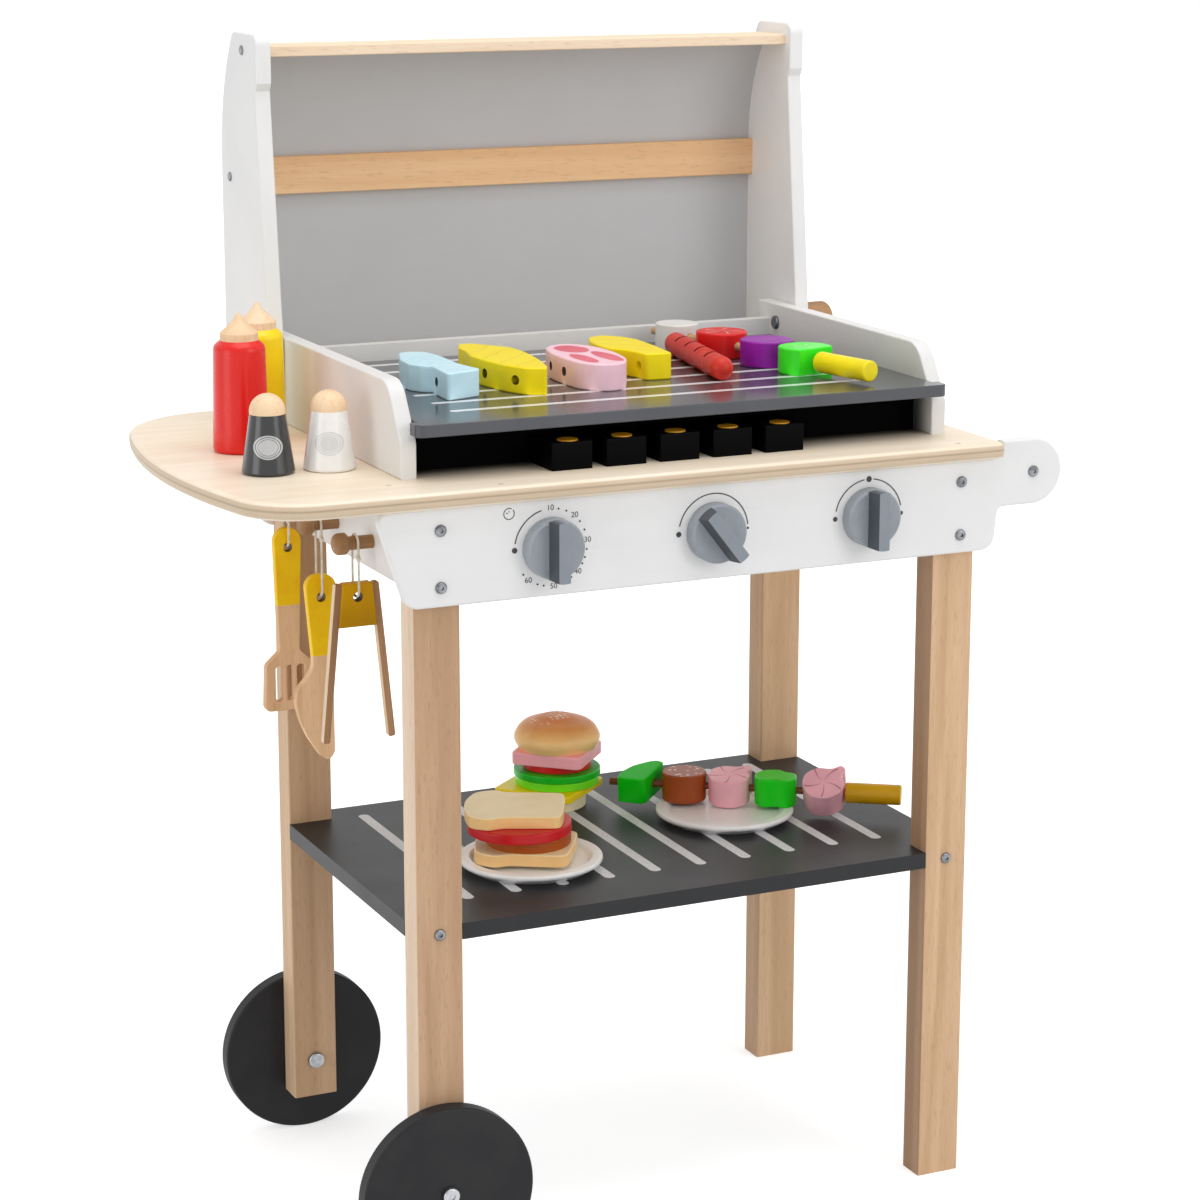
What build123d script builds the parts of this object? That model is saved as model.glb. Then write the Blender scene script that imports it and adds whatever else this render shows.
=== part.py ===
from build123d import *
import math
import os

# Toy barbecue grill of painted wood: a four-legged frame on two wheels, a worktop, a grill box
# with a hood that folds down over it, three knobs, hanging utensils and wooden play food.
# Lengths are millimetres, +Z is up. Pieces are drawn with x from the outer face of the left
# legs, y from the front face of the front legs and z from the floor, and are then moved so
# that the origin is the middle of the whole footprint, on the floor.

# Legs
leg_width = 35.0
leg_depth = 24.0
leg_edge_round = 1.5
stance_width = 448.0
stance_depth = 294.0
raised_foot_height = 35.0

# Worktop
worktop_top_height = 577.0
worktop_thickness = 12.0
worktop_front_overhang = 18.0
worktop_back_overhang = 64.0
worktop_right_overhang = 17.0
worktop_left_overhang = 131.0
worktop_bulge_radius = 574.0
worktop_bulge_from_front = 163.0
worktop_front_corner_round = 48.0
worktop_back_corner_round = 86.0
worktop_right_corner_round = 9.0
worktop_edge_round = 4.5

# Shelf
shelf_below_worktop = 315.0
shelf_thickness = 12.0

# Front and back panels, each with a round ear that carries the handle
panel_thickness = 9.0
panel_height = 70.0
panel_left_reach = 30.0
panel_left_foot_reach = 7.0
panel_right_foot_reach = 12.0
panel_neck_reach = 15.0
panel_top_corner_round = 8.0
panel_bottom_corner_round = 12.0
panel_neck_round = 5.0
panel_edge_round = 2.0
ear_radius = 25.0
ear_reach = 44.5
ear_worktop_gap = 0.4

# Handle bar between the ears
handle_radius = 10.0

# Aprons under the left and right ends of the worktop
apron_thickness = 10.0
apron_height = 68.0
apron_inset = 13.0

# Frame bolts with low round heads
bolt_shank_radius = 2.5
bolt_head_radius = 4.2
bolt_head_height = 2.2
bolt_head_round = 1.6
bolt_socket_radius = 1.5
bolt_socket_depth = 1.1
bolt_bite = 16.0
bolt_end_gap = 1.0
fixed_fit = 0.05
panel_bolt_upper_drop = 16.0
panel_bolt_lower_drop = 56.0

# Wheels and their axle bolts
wheel_radius = 65.0
wheel_thickness = 14.0
wheel_edge_round = 2.0
wheel_leg_gap = 0.5
axle_radius = 4.0
running_fit = 0.06
axle_head_radius = 6.4
axle_head_height = 4.0
axle_head_round = 1.5
axle_head_gap = 0.4

# Knobs
knob_radius = 21.5
knob_disc_depth = 11.0
knob_disc_chamfer = 1.5
knob_grip_width = 13.0
knob_grip_front_width = 9.0
knob_grip_depth = 13.0
knob_grip_round = 0.8
knob_panel_gap = 0.4
knob_drop = 35.0
knob_place_shares = (0.2228, 0.5045, 0.7862)
knob_bore_depth = 16.0
knob_middle_turn = 38.0
spindle_radius = 4.0
spindle_collar_radius = 8.0
spindle_collar_depth = 4.0
spindle_end_gap = 0.4

# Turned pegs for the utensils
peg_back_inset = 12.0
peg_spacing_share = 0.29675
peg_drop = 47.0
peg_shaft_radius = 5.0
peg_neck_reach = 5.0
peg_head_radius = 8.0
peg_head_length = 12.0
peg_flare_length = 3.0
peg_head_round = 4.5
peg_tenon_radius = 3.5

# Grill box
grill_side_thickness = 12.0
grill_side_inset = 6.0
grill_side_height = 66.0
grill_front_setback = 35.0
grill_depth = 281.0
grill_nose_height = 26.0
grill_nose_run = 25.0
grill_nose_round = 10.0
grill_top_front_round = 22.0
grill_edge_round = 1.2
rear_rail_thickness = 10.0
rear_rail_height = 53.0
rear_rail_inset = 10.0

# Grill plate and what carries it
plate_underside_height = 31.0
plate_thickness = 9.0
plate_lip_front = 20.0
plate_lip_depth = 14.5
plate_lip_side_reach = 5.0
plate_lip_round = 6.0
plate_side_gap = 0.3
plate_edge_round = 0.8
rest_width = 10.0
rest_height = 10.0
rest_front = 70.0
rest_length = 220.0

# Burner board and the row of burners below the plate
burner_board_front = 62.0
burner_board_thickness = 8.0
burner_count = 5
burner_spacing = 42.2
burner_width = 31.5
burner_depth = 41.5
burner_height = 20.0
burner_centre_across = 214.0
burner_edge_round = 1.5
burner_disc_radius = 7.5
burner_disc_thickness = 0.8
burner_disc_from_front = 9.0

# Hood: two shaped sides, a bent sheet, a slat and a top board
hood_side_thickness = 12.0
hood_grill_gap = 0.6
hood_worktop_gap = 0.5
hood_height = 291.0
hood_pivot_height = 51.0
hood_pivot_from_grill_back = 31.0
hood_foot_front = 10.0
hood_foot_depth = 104.0
hood_foot_front_round = 14.0
hood_foot_back_round = 6.0
hood_flank_start = 12.0
hood_shoulder_drop = 42.0
hood_shoulder_back = 9.0
hood_brow_back = 5.5
hood_brow_drop = 36.0
hood_curl_radius = 159.0
hood_curl_lean = 36.0
hood_top_corner_round = 8.0
hood_brow_round = 8.0
hood_edge_round = 1.2
hood_sheet_inset = 14.0
hood_sheet_thickness = 3.0
hood_sheet_foot = 7.5
hood_slat_thickness = 8.0
hood_slat_height = 29.0
hood_top_board_thickness = 8.0
hood_top_board_drop = 9.0
hood_top_board_setback = 13.5
board_edge_round = 1.0
hood_screw_radius = 1.8
hood_screw_head_radius = 3.6
hood_screw_head_height = 1.4
hood_screw_head_round = 1.0
hood_screw_bite = 18.0
hood_upper_screw_forward = 18.0
hood_lower_screw_drop = 14.0

# Hood pivots and the round knob on the right one
pivot_radius = 3.0
pivot_head_radius = 5.5
pivot_head_height = 2.4
pivot_head_round = 1.6
pivot_cap_radius = 5.5
pivot_cap_thickness = 3.0
pivot_cap_gap = 0.4
pivot_knob_radius = 15.0
pivot_knob_length = 22.0
pivot_knob_round = 5.0
pivot_knob_bite = 14.0

# Utensils hang from strings round the pegs
string_radius = 1.0
string_peg_gap = 0.4
string_hole_gap = 0.25
utensil_thickness = 7.0
utensil_edge_round = 0.8
utensil_hole_radius = 3.3
string_inset_from_head = 2.0

# Spatula
spatula_top_drop = 17.0
spatula_hole_drop = 15.0
spatula_length = 142.5
spatula_handle_half_width = 11.0
spatula_neck_half_width = 8.0
spatula_neck_drop = 96.0
spatula_blade_half_width = 20.5
spatula_shoulder_half_width = 19.0
spatula_shoulder_drop = 106.0
spatula_corner_round = 5.0
spatula_slot_count = 3
spatula_slot_width = 6.0
spatula_slot_length = 28.0
spatula_slot_spacing = 8.5
spatula_slot_drop = 121.0

# Knife
knife_top_drop = 38.0
knife_hole_drop = 17.0
knife_length = 143.0
knife_width = 25.0
knife_hang_inset = 0.2

# Tongs: a block and two arms
tongs_block_top_drop = 29.0
tongs_hole_drop = 10.0
tongs_block_height = 32.0
tongs_block_half_width = 11.4
tongs_block_foot_half_width = 14.5
tongs_block_thickness = 9.0
tongs_block_round = 2.0
tongs_arm_width = 5.0
tongs_arm_depth = 6.0
tongs_arm_length = 118.0
tongs_arm_round = 2.0

# Bottles on the worktop
bottle_foot_radius = 20.3
bottle_shoulder_radius = 18.8
bottle_neck_radius = 14.0
bottle_body_height = 81.0
bottle_shoulder_height = 77.0
bottle_foot_round = 3.0
bottle_shoulder_round = 6.5
cap_radius = 13.8
cap_ring_height = 5.2
cap_height = 19.5
cap_waist_radius = 4.8
cap_waist_height = 13.5
cap_tip_radius = 1.0
red_bottle_left = 59.0
red_bottle_back = 186.0
yellow_bottle_left = 29.0
yellow_bottle_back = 234.0

# Shakers on the worktop
shaker_foot_radius = 19.0
shaker_top_radius = 12.6
shaker_body_height = 42.0
shaker_foot_round = 2.0
shaker_dome_rise = 1.6
pepper_left = 68.0
pepper_back = 99.0
salt_left = 24.0
salt_back = 95.5

# Play food: common sizes
food_thickness = 20.0
food_edge_round = 1.2
food_hole_radius = 3.4
stick_radius = 3.0

# Fish and meat on the grill plate, placed from its middle and by shares of its depth
blue_fish_length = 108.0
blue_fish_offset = -144.5
blue_fish_back_share = 0.469
left_yellow_fish_length = 132.0
left_yellow_fish_offset = -86.0
left_yellow_fish_back_share = 0.496
steak_length = 106.0
steak_offset = -26.5
steak_back_share = 0.427
right_yellow_fish_length = 101.0
right_yellow_fish_offset = 19.0
right_yellow_fish_back_share = 0.54
sausage_radius = 9.0
sausage_length = 140.0
sausage_offset = 76.2
sausage_back_share = 0.504
sausage_angle = 10.0
sausage_cut_count = 4
sausage_cut_spacing = 26.0
sausage_cut_width = 3.0
sausage_cut_depth = 3.5

# Skewer on the grill plate
grill_skewer_tip_offset = 98.0
grill_skewer_tip_share = 0.979
grill_skewer_end_offset = 157.0
grill_skewer_end_share = 0.029
grill_handle_length = 56.0
skewer_handle_radius = 8.0
skewer_handle_round = 1.5
grill_piece_alongs = (29.0, 84.0, 137.0, 182.0)
grill_piece_radii = (17.0, 20.0, 20.0, 20.5)

# Crockery and food on the shelf
dish_radius = 55.5
dish_thickness = 8.0
dish_rim_width = 9.5
dish_well_depth = 3.0
dish_foot_inset = 9.0
dish_rim_round = 2.4
left_dish_place_shares = (0.2925, 0.3435)
right_dish_place_shares = (0.707, 0.5)

burger_place_shares = (0.473, 0.799)
burger_bun_radius = 35.5
burger_foot_radius = 27.5
burger_foot_height = 12.0
burger_foot_shift = 5.0
cheese_width = 66.0
cheese_thickness = 6.0
cheese_shift = 7.0
cheese_turn = 40.0
cheese_corner_round = 5.0
lower_leaf_radius = 33.0
lower_leaf_thickness = 7.0
upper_leaf_radius = 34.5
upper_leaf_thickness = 6.0
tomato_radius = 27.0
tomato_thickness = 6.0
ham_width = 58.0
ham_thickness = 10.0
ham_turn = 47.0
ham_corner_round = 6.0
burger_bun_height = 26.0

bread_length = 86.0
bread_thickness = 9.5
lower_bread_turn = 58.0
lower_bread_left = 2.9
lower_bread_back = 2.6
upper_bread_turn = 64.0
upper_bread_left = 6.7
upper_bread_back = 12.9
patty_radius = 32.0
patty_thickness = 9.0
patty_left = 1.1
patty_back = 1.7
slice_radius = 39.0
slice_thickness = 8.0
slice_left = 7.2
slice_back = 4.6

# Skewer lying on the right dish
shelf_skewer_tip_shares = (0.555, 0.728)
shelf_skewer_end_shares = (0.981, 0.283)
shelf_handle_length = 44.0
shelf_piece_alongs = (24.5, 59.5, 95.5, 132.5, 170.5)
shelf_piece_radius = 17.5
shelf_piece_thickness = 22.5
shelf_piece_turns = (14.0, 0.0, 9.0, 0.0, 32.0)

# Shares of the food outlines, drawn along +Y and one unit long
fish_shares = (
    (-0.069, 0.472), (0.014, 0.5), (0.116, 0.444), (0.144, 0.287), (0.144, 0.139),
    (0.134, -0.12), (0.181, -0.37), (0.162, -0.407), (-0.097, -0.5), (-0.088, -0.343),
    (-0.069, -0.148), (-0.134, -0.102), (-0.181, 0.0), (-0.162, 0.213))
long_fish_shares = (
    (-0.068, 0.5), (0.008, 0.492), (0.076, 0.394), (0.159, 0.273), (0.167, 0.083),
    (0.136, -0.182), (0.083, -0.424), (0.045, -0.5), (-0.061, -0.455), (-0.121, -0.311),
    (-0.159, -0.098), (-0.167, 0.091), (-0.129, 0.242), (-0.121, 0.379))
tailed_fish_shares = (
    (-0.099, 0.45), (0.03, 0.5), (0.149, 0.371), (0.198, 0.203), (0.188, -0.064),
    (0.168, -0.342), (0.149, -0.49), (0.079, -0.5), (-0.059, -0.48), (-0.069, -0.351),
    (-0.109, -0.213), (-0.188, -0.094), (-0.198, 0.045), (-0.178, 0.252))
steak_shares = (
    (-0.156, 0.377), (-0.061, 0.481), (0.052, 0.5), (0.165, 0.396), (0.212, 0.217),
    (0.222, -0.009), (0.184, -0.274), (0.09, -0.453), (-0.024, -0.5), (-0.137, -0.453),
    (-0.212, -0.302), (-0.222, -0.066), (-0.212, 0.151))
bread_shares = (
    (-0.36, -0.4), (-0.22, -0.425), (0.22, -0.425), (0.36, -0.4), (0.37, 0.1), (0.44, 0.2), (0.37, 0.38),
    (0.12, 0.45), (-0.12, 0.44), (-0.37, 0.38), (-0.44, 0.2), (-0.37, 0.1))
knife_shares = (
    (-0.5, 0.0), (0.5, 0.0), (0.34, -0.4), (0.36, -0.96), (0.16, -1.0), (-0.1, -0.97),
    (-0.5, -0.86), (-0.72, -0.77), (-0.86, -0.67), (-0.8, -0.6), (-0.5, -0.55),
    (-0.27, -0.49), (-0.29, -0.42))
leaf_piece_shares = (
    (-0.95, -0.75), (0.3, -0.9), (0.95, 0.85), (0.62, 0.98), (0.25, 0.85), (-0.4, 0.42), (-0.85, -0.2))
pepper_piece_shares = (
    (-0.95, -0.35), (-0.55, -0.9), (0.0, -0.68), (0.55, -0.9), (0.98, -0.3), (0.85, 0.5),
    (0.35, 0.62), (0.1, 0.95), (-0.6, 0.85), (-0.98, 0.3))
shrimp_piece_shares = (
    (-0.98, -0.15), (-0.6, -0.85), (0.2, -1.0), (0.85, -0.55), (0.95, 0.1), (0.72, 0.42),
    (0.98, 0.75), (0.75, 1.1), (0.3, 0.82), (-0.35, 0.88), (-0.88, 0.5))
outline_run_share = 0.42
crisp_run_share = 0.22
half = 0.5
right_angle = 90.0

# Heights and places that follow
worktop_underside = worktop_top_height - worktop_thickness
front_face = -worktop_front_overhang
worktop_back = stance_depth + worktop_back_overhang
worktop_right = stance_width + worktop_right_overhang
shelf_top_height = worktop_top_height - shelf_below_worktop
shelf_underside = shelf_top_height - shelf_thickness
ear_x = stance_width + ear_reach
ear_z = worktop_top_height - ear_radius
left_leg_x = leg_width * half
right_leg_x = stance_width - leg_width * half
knob_z = worktop_underside - knob_drop
peg_z = worktop_underside - peg_drop
apron_length = stance_depth - 2 * leg_depth
last_peg_back = stance_depth - leg_depth - peg_back_inset
peg_ys = [last_peg_back - apron_length * peg_spacing_share * step for step in (2, 1, 0)]
grill_left = grill_side_inset
grill_right = stance_width - grill_side_inset
grill_back = grill_front_setback + grill_depth
plate_bottom = worktop_top_height + plate_underside_height
plate_top = plate_bottom + plate_thickness
pivot_y = grill_back - hood_pivot_from_grill_back
pivot_z = worktop_top_height + hood_pivot_height
hood_left = grill_left - hood_grill_gap
hood_right = grill_right + hood_grill_gap
hood_top = worktop_top_height + hood_height
hood_foot = worktop_top_height + hood_worktop_gap
hood_back = pivot_y - hood_foot_front + hood_foot_depth
knob_front = -panel_thickness - knob_panel_gap


# Helpers
def block(x_from, x_to, y_from, y_to, z_from, z_to):
    """A box between two values on each axis."""
    centre = Pos((x_from + x_to) * half, (y_from + y_to) * half, (z_from + z_to) * half)
    return centre * Box(x_to - x_from, y_to - y_from, z_to - z_from)


def rod_x(radius, x_from, x_to, y, z):
    """A round bar along X."""
    return Pos((x_from + x_to) * half, y, z) * Rot(0, right_angle, 0) * Cylinder(radius, x_to - x_from)


def rod_y(radius, y_from, y_to, x, z):
    """A round bar along Y."""
    return Pos(x, (y_from + y_to) * half, z) * Rot(right_angle, 0, 0) * Cylinder(radius, y_to - y_from)


def rod_z(radius, z_from, z_to, x, y):
    """A round bar along Z."""
    return Pos(x, y, (z_from + z_to) * half) * Cylinder(radius, z_to - z_from)


def outline(corners):
    """A flat face from corners given as (across, up, corner radius)."""
    points = [(across, up) for across, up, radius in corners]
    radii = [radius for across, up, radius in corners]
    return make_face(FilletPolyline(*points, radius=radii, close=True))


def smooth_outline(points, run_share=outline_run_share):
    """A flat face whose corners are rounded over a share of their shorter side."""
    radii = []
    for index, point in enumerate(points):
        before = points[index - 1]
        after = points[(index + 1) % len(points)]
        run_in = Vector(point[0] - before[0], point[1] - before[1])
        run_out = Vector(after[0] - point[0], after[1] - point[1])
        reach = run_share * min(run_in.length, run_out.length)
        turn = math.radians(run_in.get_angle(run_out))
        radii.append(reach / math.tan(turn * half))
    return make_face(FilletPolyline(*points, radius=radii, close=True))


def scaled_outline(shares, size, run_share=outline_run_share):
    """A smooth face from an outline of shares, times a length."""
    return smooth_outline([(x * size, y * size) for x, y in shares], run_share)


def slab_xz(face, y_from, y_to):
    """Thicken a face drawn in x and z, from one y to another."""
    standing = Plane((0, y_from, 0), x_dir=(1, 0, 0), z_dir=(0, -1, 0)) * face
    return extrude(standing, amount=y_to - y_from, dir=(0, 1, 0))


def slab_yz(face, x_from, x_to):
    """Thicken a face drawn in y and z, from one x to another."""
    standing = Plane((x_from, 0, 0), x_dir=(0, 1, 0), z_dir=(1, 0, 0)) * face
    return extrude(standing, amount=x_to - x_from, dir=(1, 0, 0))


def slab_xy(face, z_from, z_to):
    """Thicken a face drawn in x and y, from one height to another."""
    return Pos(0, 0, z_from) * extrude(face, amount=z_to - z_from)


def turned(corners):
    """Turn a profile of (radius, height, corner radius) about the Z axis."""
    return revolve(Plane.XZ * outline(corners), Axis.Z)


def end_rounded(solid, axis, radius):
    """Round the edges of both end faces of a slab, seen along an axis."""
    ends = solid.edges().group_by(axis)
    return fillet(ends[0] + ends[-1], radius)


def group(solids):
    """Several separate solids as one shape."""
    return Compound(children=[solid for shape in solids for solid in shape.solids()])


def facing_front(x, y, z):
    """A place where local +Z points to the front."""
    return Pos(x, y, z) * Rot(right_angle, 0, 0)


def facing_back(x, y, z):
    """A place where local +Z points to the back."""
    return Pos(x, y, z) * Rot(-right_angle, 0, 0)


def facing_left(x, y, z):
    """A place where local +Z points to the left."""
    return Pos(x, y, z) * Rot(0, -right_angle, 0)


def facing_right(x, y, z):
    """A place where local +Z points to the right."""
    return Pos(x, y, z) * Rot(0, right_angle, 0)


def button(radius, height, rounding):
    """A round head standing on z = 0 with a rounded rim."""
    return turned([(0, 0, 0), (radius, 0, 0), (radius, height, rounding), (0, height, 0)])


def frame_bolt(shank_length):
    """A bolt with its head above z = 0, its shank below and a socket in the head."""
    head = button(bolt_head_radius, bolt_head_height, bolt_head_round)
    shank = rod_z(bolt_shank_radius, -shank_length, 0, 0, 0)
    socket = rod_z(bolt_socket_radius, bolt_head_height - bolt_socket_depth, bolt_head_height, 0, 0)
    return head + shank - socket


parts = {}

# Legs: square-cut posts with eased edges, drilled for the bolts and on the left for the axles
bolt_hole = bolt_shank_radius + fixed_fit
axle_hole = axle_radius + fixed_fit
panel_bolt_zs = [worktop_underside - panel_bolt_upper_drop, worktop_underside - panel_bolt_lower_drop]
shelf_bolt_z = (shelf_top_height + shelf_underside) * half
axle_z = wheel_radius
leg_bolt_depth = min(bolt_bite, leg_depth - bolt_end_gap)
bite_hole = bolt_bite + bolt_end_gap


def leg(x_from, y_from, foot, outer_is_front):
    """One leg with its panel bolt holes, a shelf bolt hole and, on the wheel side, an axle hole."""
    post = block(x_from, x_from + leg_width, y_from, y_from + leg_depth, foot, worktop_underside)
    post = fillet(post.edges().filter_by(Axis.Z), leg_edge_round)
    middle = x_from + leg_width * half
    outer = y_from if outer_is_front else y_from + leg_depth
    inward = 1 if outer_is_front else -1
    for z in panel_bolt_zs:
        ends = sorted([outer, outer + inward * (leg_bolt_depth + bolt_end_gap)])
        post -= rod_y(bolt_hole, ends[0], ends[1], middle, z)
    post -= rod_y(bolt_hole, y_from, y_from + leg_depth, middle, shelf_bolt_z)
    if foot > 0:
        post -= rod_y(axle_hole, y_from, y_from + leg_depth, middle, axle_z)
    return post


leg_back_y = stance_depth - leg_depth
right_leg_inner = stance_width - leg_width
parts["leg_front_left"] = leg(0, 0, raised_foot_height, True)
parts["leg_back_left"] = leg(0, leg_back_y, raised_foot_height, False)
parts["leg_front_right"] = leg(right_leg_inner, 0, 0, True)
parts["leg_back_right"] = leg(right_leg_inner, leg_back_y, 0, False)

# Shelf: a board as wide and deep as the stance, notched round the legs
shelf = block(0, stance_width, 0, stance_depth, shelf_underside, shelf_top_height)
for x_from in (0, right_leg_inner):
    for y_from in (0, leg_back_y):
        shelf -= block(x_from, x_from + leg_width, y_from, y_from + leg_depth,
                       shelf_underside, shelf_top_height)
for x in (left_leg_x, right_leg_x):
    shelf -= rod_y(bolt_hole, leg_depth, leg_depth + bite_hole, x, shelf_bolt_z)
    shelf -= rod_y(bolt_hole, leg_back_y - bite_hole, leg_back_y, x, shelf_bolt_z)
parts["shelf"] = shelf

shelf_bolts = []
for x in (left_leg_x, right_leg_x):
    shelf_bolts.append(facing_front(x, 0, shelf_bolt_z) * frame_bolt(leg_depth + bolt_bite))
    shelf_bolts.append(facing_back(x, stance_depth, shelf_bolt_z) * frame_bolt(leg_depth + bolt_bite))
parts["shelf_bolts"] = group(shelf_bolts)

# Panels: the long boards under the worktop, with the handle's ears at the right end
panel_foot_z = worktop_underside - panel_height
ear_bottom = ear_z - ear_radius
panel_face = outline([
    (-panel_left_reach, worktop_underside, panel_top_corner_round),
    (-panel_left_foot_reach, panel_foot_z, panel_bottom_corner_round),
    (stance_width + panel_right_foot_reach, panel_foot_z, panel_bottom_corner_round),
    (stance_width + panel_neck_reach, ear_bottom, panel_neck_round),
    (ear_x, ear_bottom, 0),
    (ear_x, worktop_top_height, 0),
    (worktop_right + ear_worktop_gap, worktop_top_height, 0),
    (worktop_right + ear_worktop_gap, worktop_underside, 0)])
panel_face += Pos(ear_x, ear_z) * Circle(ear_radius)
knob_xs = [stance_width * share for share in knob_place_shares]
spindle_hole = spindle_radius + fixed_fit


def panel(y_from, spindle_xs):
    """A panel with holes for its bolts, the handle bolt and any knob spindles."""
    y_to = y_from + panel_thickness
    board = end_rounded(slab_xz(panel_face, y_from, y_to), Axis.Y, panel_edge_round)
    for x in (left_leg_x, right_leg_x):
        for z in panel_bolt_zs:
            board -= rod_y(bolt_hole, y_from, y_to, x, z)
    board -= rod_y(bolt_hole, y_from, y_to, ear_x, ear_z)
    for x in spindle_xs:
        board -= rod_y(spindle_hole, y_from, y_to, x, knob_z)
    return board


parts["front_panel"] = panel(-panel_thickness, knob_xs)
parts["back_panel"] = panel(stance_depth, [])

panel_bolt_length = panel_thickness + leg_bolt_depth
panel_bolts = []
for x in (left_leg_x, right_leg_x):
    for z in panel_bolt_zs:
        front_place = facing_front(x, -panel_thickness, z)
        back_place = facing_back(x, stance_depth + panel_thickness, z)
        panel_bolts.append(front_place * frame_bolt(panel_bolt_length))
        panel_bolts.append(back_place * frame_bolt(panel_bolt_length))
parts["panel_bolts"] = group(panel_bolts)

# Handle bar and its two end bolts
handle = rod_y(handle_radius, 0, stance_depth, ear_x, ear_z)
handle -= rod_y(bolt_hole, 0, bite_hole, ear_x, ear_z)
handle -= rod_y(bolt_hole, stance_depth - bite_hole, stance_depth, ear_x, ear_z)
parts["handle_dowel"] = handle
handle_bolt = frame_bolt(panel_thickness + bolt_bite)
parts["handle_bolts"] = group([
    facing_front(ear_x, -panel_thickness, ear_z) * handle_bolt,
    facing_back(ear_x, stance_depth + panel_thickness, ear_z) * handle_bolt])

# Aprons between the legs, the left one drilled for the pegs
apron_foot = worktop_underside - apron_height
left_apron_outer = apron_inset
right_apron_outer = stance_width - apron_inset
left_apron = block(left_apron_outer, left_apron_outer + apron_thickness,
                   leg_depth, leg_back_y, apron_foot, worktop_underside)
for y in peg_ys:
    left_apron -= rod_x(peg_tenon_radius + fixed_fit, left_apron_outer,
                        left_apron_outer + apron_thickness, y, peg_z)
parts["left_apron"] = left_apron
parts["right_apron"] = block(right_apron_outer - apron_thickness, right_apron_outer,
                             leg_depth, leg_back_y, apron_foot, worktop_underside)

# Worktop: a board whose left end bulges out and has two wide round corners
worktop_far_left = -worktop_left_overhang
worktop_depth = worktop_back - front_face
worktop_centre_y = (front_face + worktop_back) * half
worktop_board = Pos((worktop_far_left + worktop_right) * half, worktop_centre_y) * Rectangle(
    worktop_right - worktop_far_left, worktop_depth)
bulge = Pos(worktop_far_left + worktop_bulge_radius, front_face + worktop_bulge_from_front) * Circle(
    worktop_bulge_radius)
worktop_face = worktop_board & bulge


def nearest_corner(face, x, y):
    """The corner of a flat face that lies nearest to a point."""
    return face.vertices().sort_by_distance((x, y, 0))[0]


worktop_face = fillet(nearest_corner(worktop_face, worktop_far_left, front_face),
                      worktop_front_corner_round)
worktop_face = fillet(nearest_corner(worktop_face, worktop_far_left, worktop_back),
                      worktop_back_corner_round)
worktop_face = fillet(nearest_corner(worktop_face, worktop_right, front_face),
                      worktop_right_corner_round)
worktop_face = fillet(nearest_corner(worktop_face, worktop_right, worktop_back),
                      worktop_right_corner_round)
parts["worktop"] = end_rounded(slab_xy(worktop_face, worktop_underside, worktop_top_height),
                               Axis.Z, worktop_edge_round)

# Wheels: plain thick discs on axle bolts through the left legs
wheel_inner_front = -wheel_leg_gap
wheel_outer_front = wheel_inner_front - wheel_thickness
wheel_inner_back = stance_depth + wheel_leg_gap
wheel_outer_back = wheel_inner_back + wheel_thickness


def wheel(y_from, y_to):
    """A disc with eased rims and a running bore."""
    disc = end_rounded(rod_y(wheel_radius, y_from, y_to, left_leg_x, axle_z), Axis.Y, wheel_edge_round)
    return disc - rod_y(axle_radius + running_fit, y_from, y_to, left_leg_x, axle_z)


def axle_bolt():
    """An axle bolt: head above z = 0, shank below, and a sleeve nut at the far side of the leg."""
    shank_length = axle_head_gap + wheel_thickness + wheel_leg_gap + leg_depth
    head = button(axle_head_radius, axle_head_height, axle_head_round)
    socket = rod_z(bolt_shank_radius, axle_head_height - bolt_socket_depth, axle_head_height, 0, 0)
    nut = Pos(0, 0, -shank_length) * Rot(2 * right_angle, 0, 0) * button(
        axle_head_radius, axle_head_height, axle_head_round)
    return head - socket + rod_z(axle_radius, -shank_length, 0, 0, 0) + nut


parts["wheel_front"] = wheel(wheel_outer_front, wheel_inner_front)
parts["wheel_back"] = wheel(wheel_inner_back, wheel_outer_back)
parts["wheel_bolts"] = group([
    facing_front(left_leg_x, wheel_outer_front - axle_head_gap, axle_z) * axle_bolt(),
    facing_back(left_leg_x, wheel_outer_back + axle_head_gap, axle_z) * axle_bolt()])


# Knobs: a disc with a full-width grip bar, on a spindle through the front panel
def knob(x, turn):
    """A knob in front of the panel, its grip turned from upright by an angle."""
    disc = turned([
        (0, 0, 0), (knob_radius, 0, 0), (knob_radius, knob_disc_depth, 0), (0, knob_disc_depth, 0)])
    disc = chamfer(disc.edges().group_by(Axis.Z)[-1], knob_disc_chamfer)
    grip_top = knob_disc_depth + knob_grip_depth
    side = knob_grip_width * half
    front_side = knob_grip_front_width * half
    section = outline([(-side, 0, 0), (side, 0, 0), (side, knob_disc_depth, 0),
                       (front_side, grip_top, knob_grip_round),
                       (-front_side, grip_top, knob_grip_round), (-side, knob_disc_depth, 0)])
    grip = slab_xz(section, -knob_radius, knob_radius)
    grip &= rod_z(knob_radius, 0, grip_top, 0, 0)
    body = disc + grip - rod_z(spindle_radius + running_fit, 0, knob_bore_depth, 0, 0)
    return facing_front(x, knob_front, knob_z) * Rot(0, 0, turn) * body


for name, x, turn in zip(("left", "middle", "right"), knob_xs, (0, knob_middle_turn, 0)):
    parts["knob_" + name] = knob(x, turn)

spindle_front = knob_front - knob_bore_depth + spindle_end_gap
parts["knob_spindles"] = group([
    rod_y(spindle_radius, spindle_front, 0, x, knob_z)
    + rod_y(spindle_collar_radius, 0, spindle_collar_depth, x, knob_z) for x in knob_xs])

# Pegs: turned, with a mushroom head outside and a tenon in the apron
peg_head_start = peg_neck_reach + left_apron_outer


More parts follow.
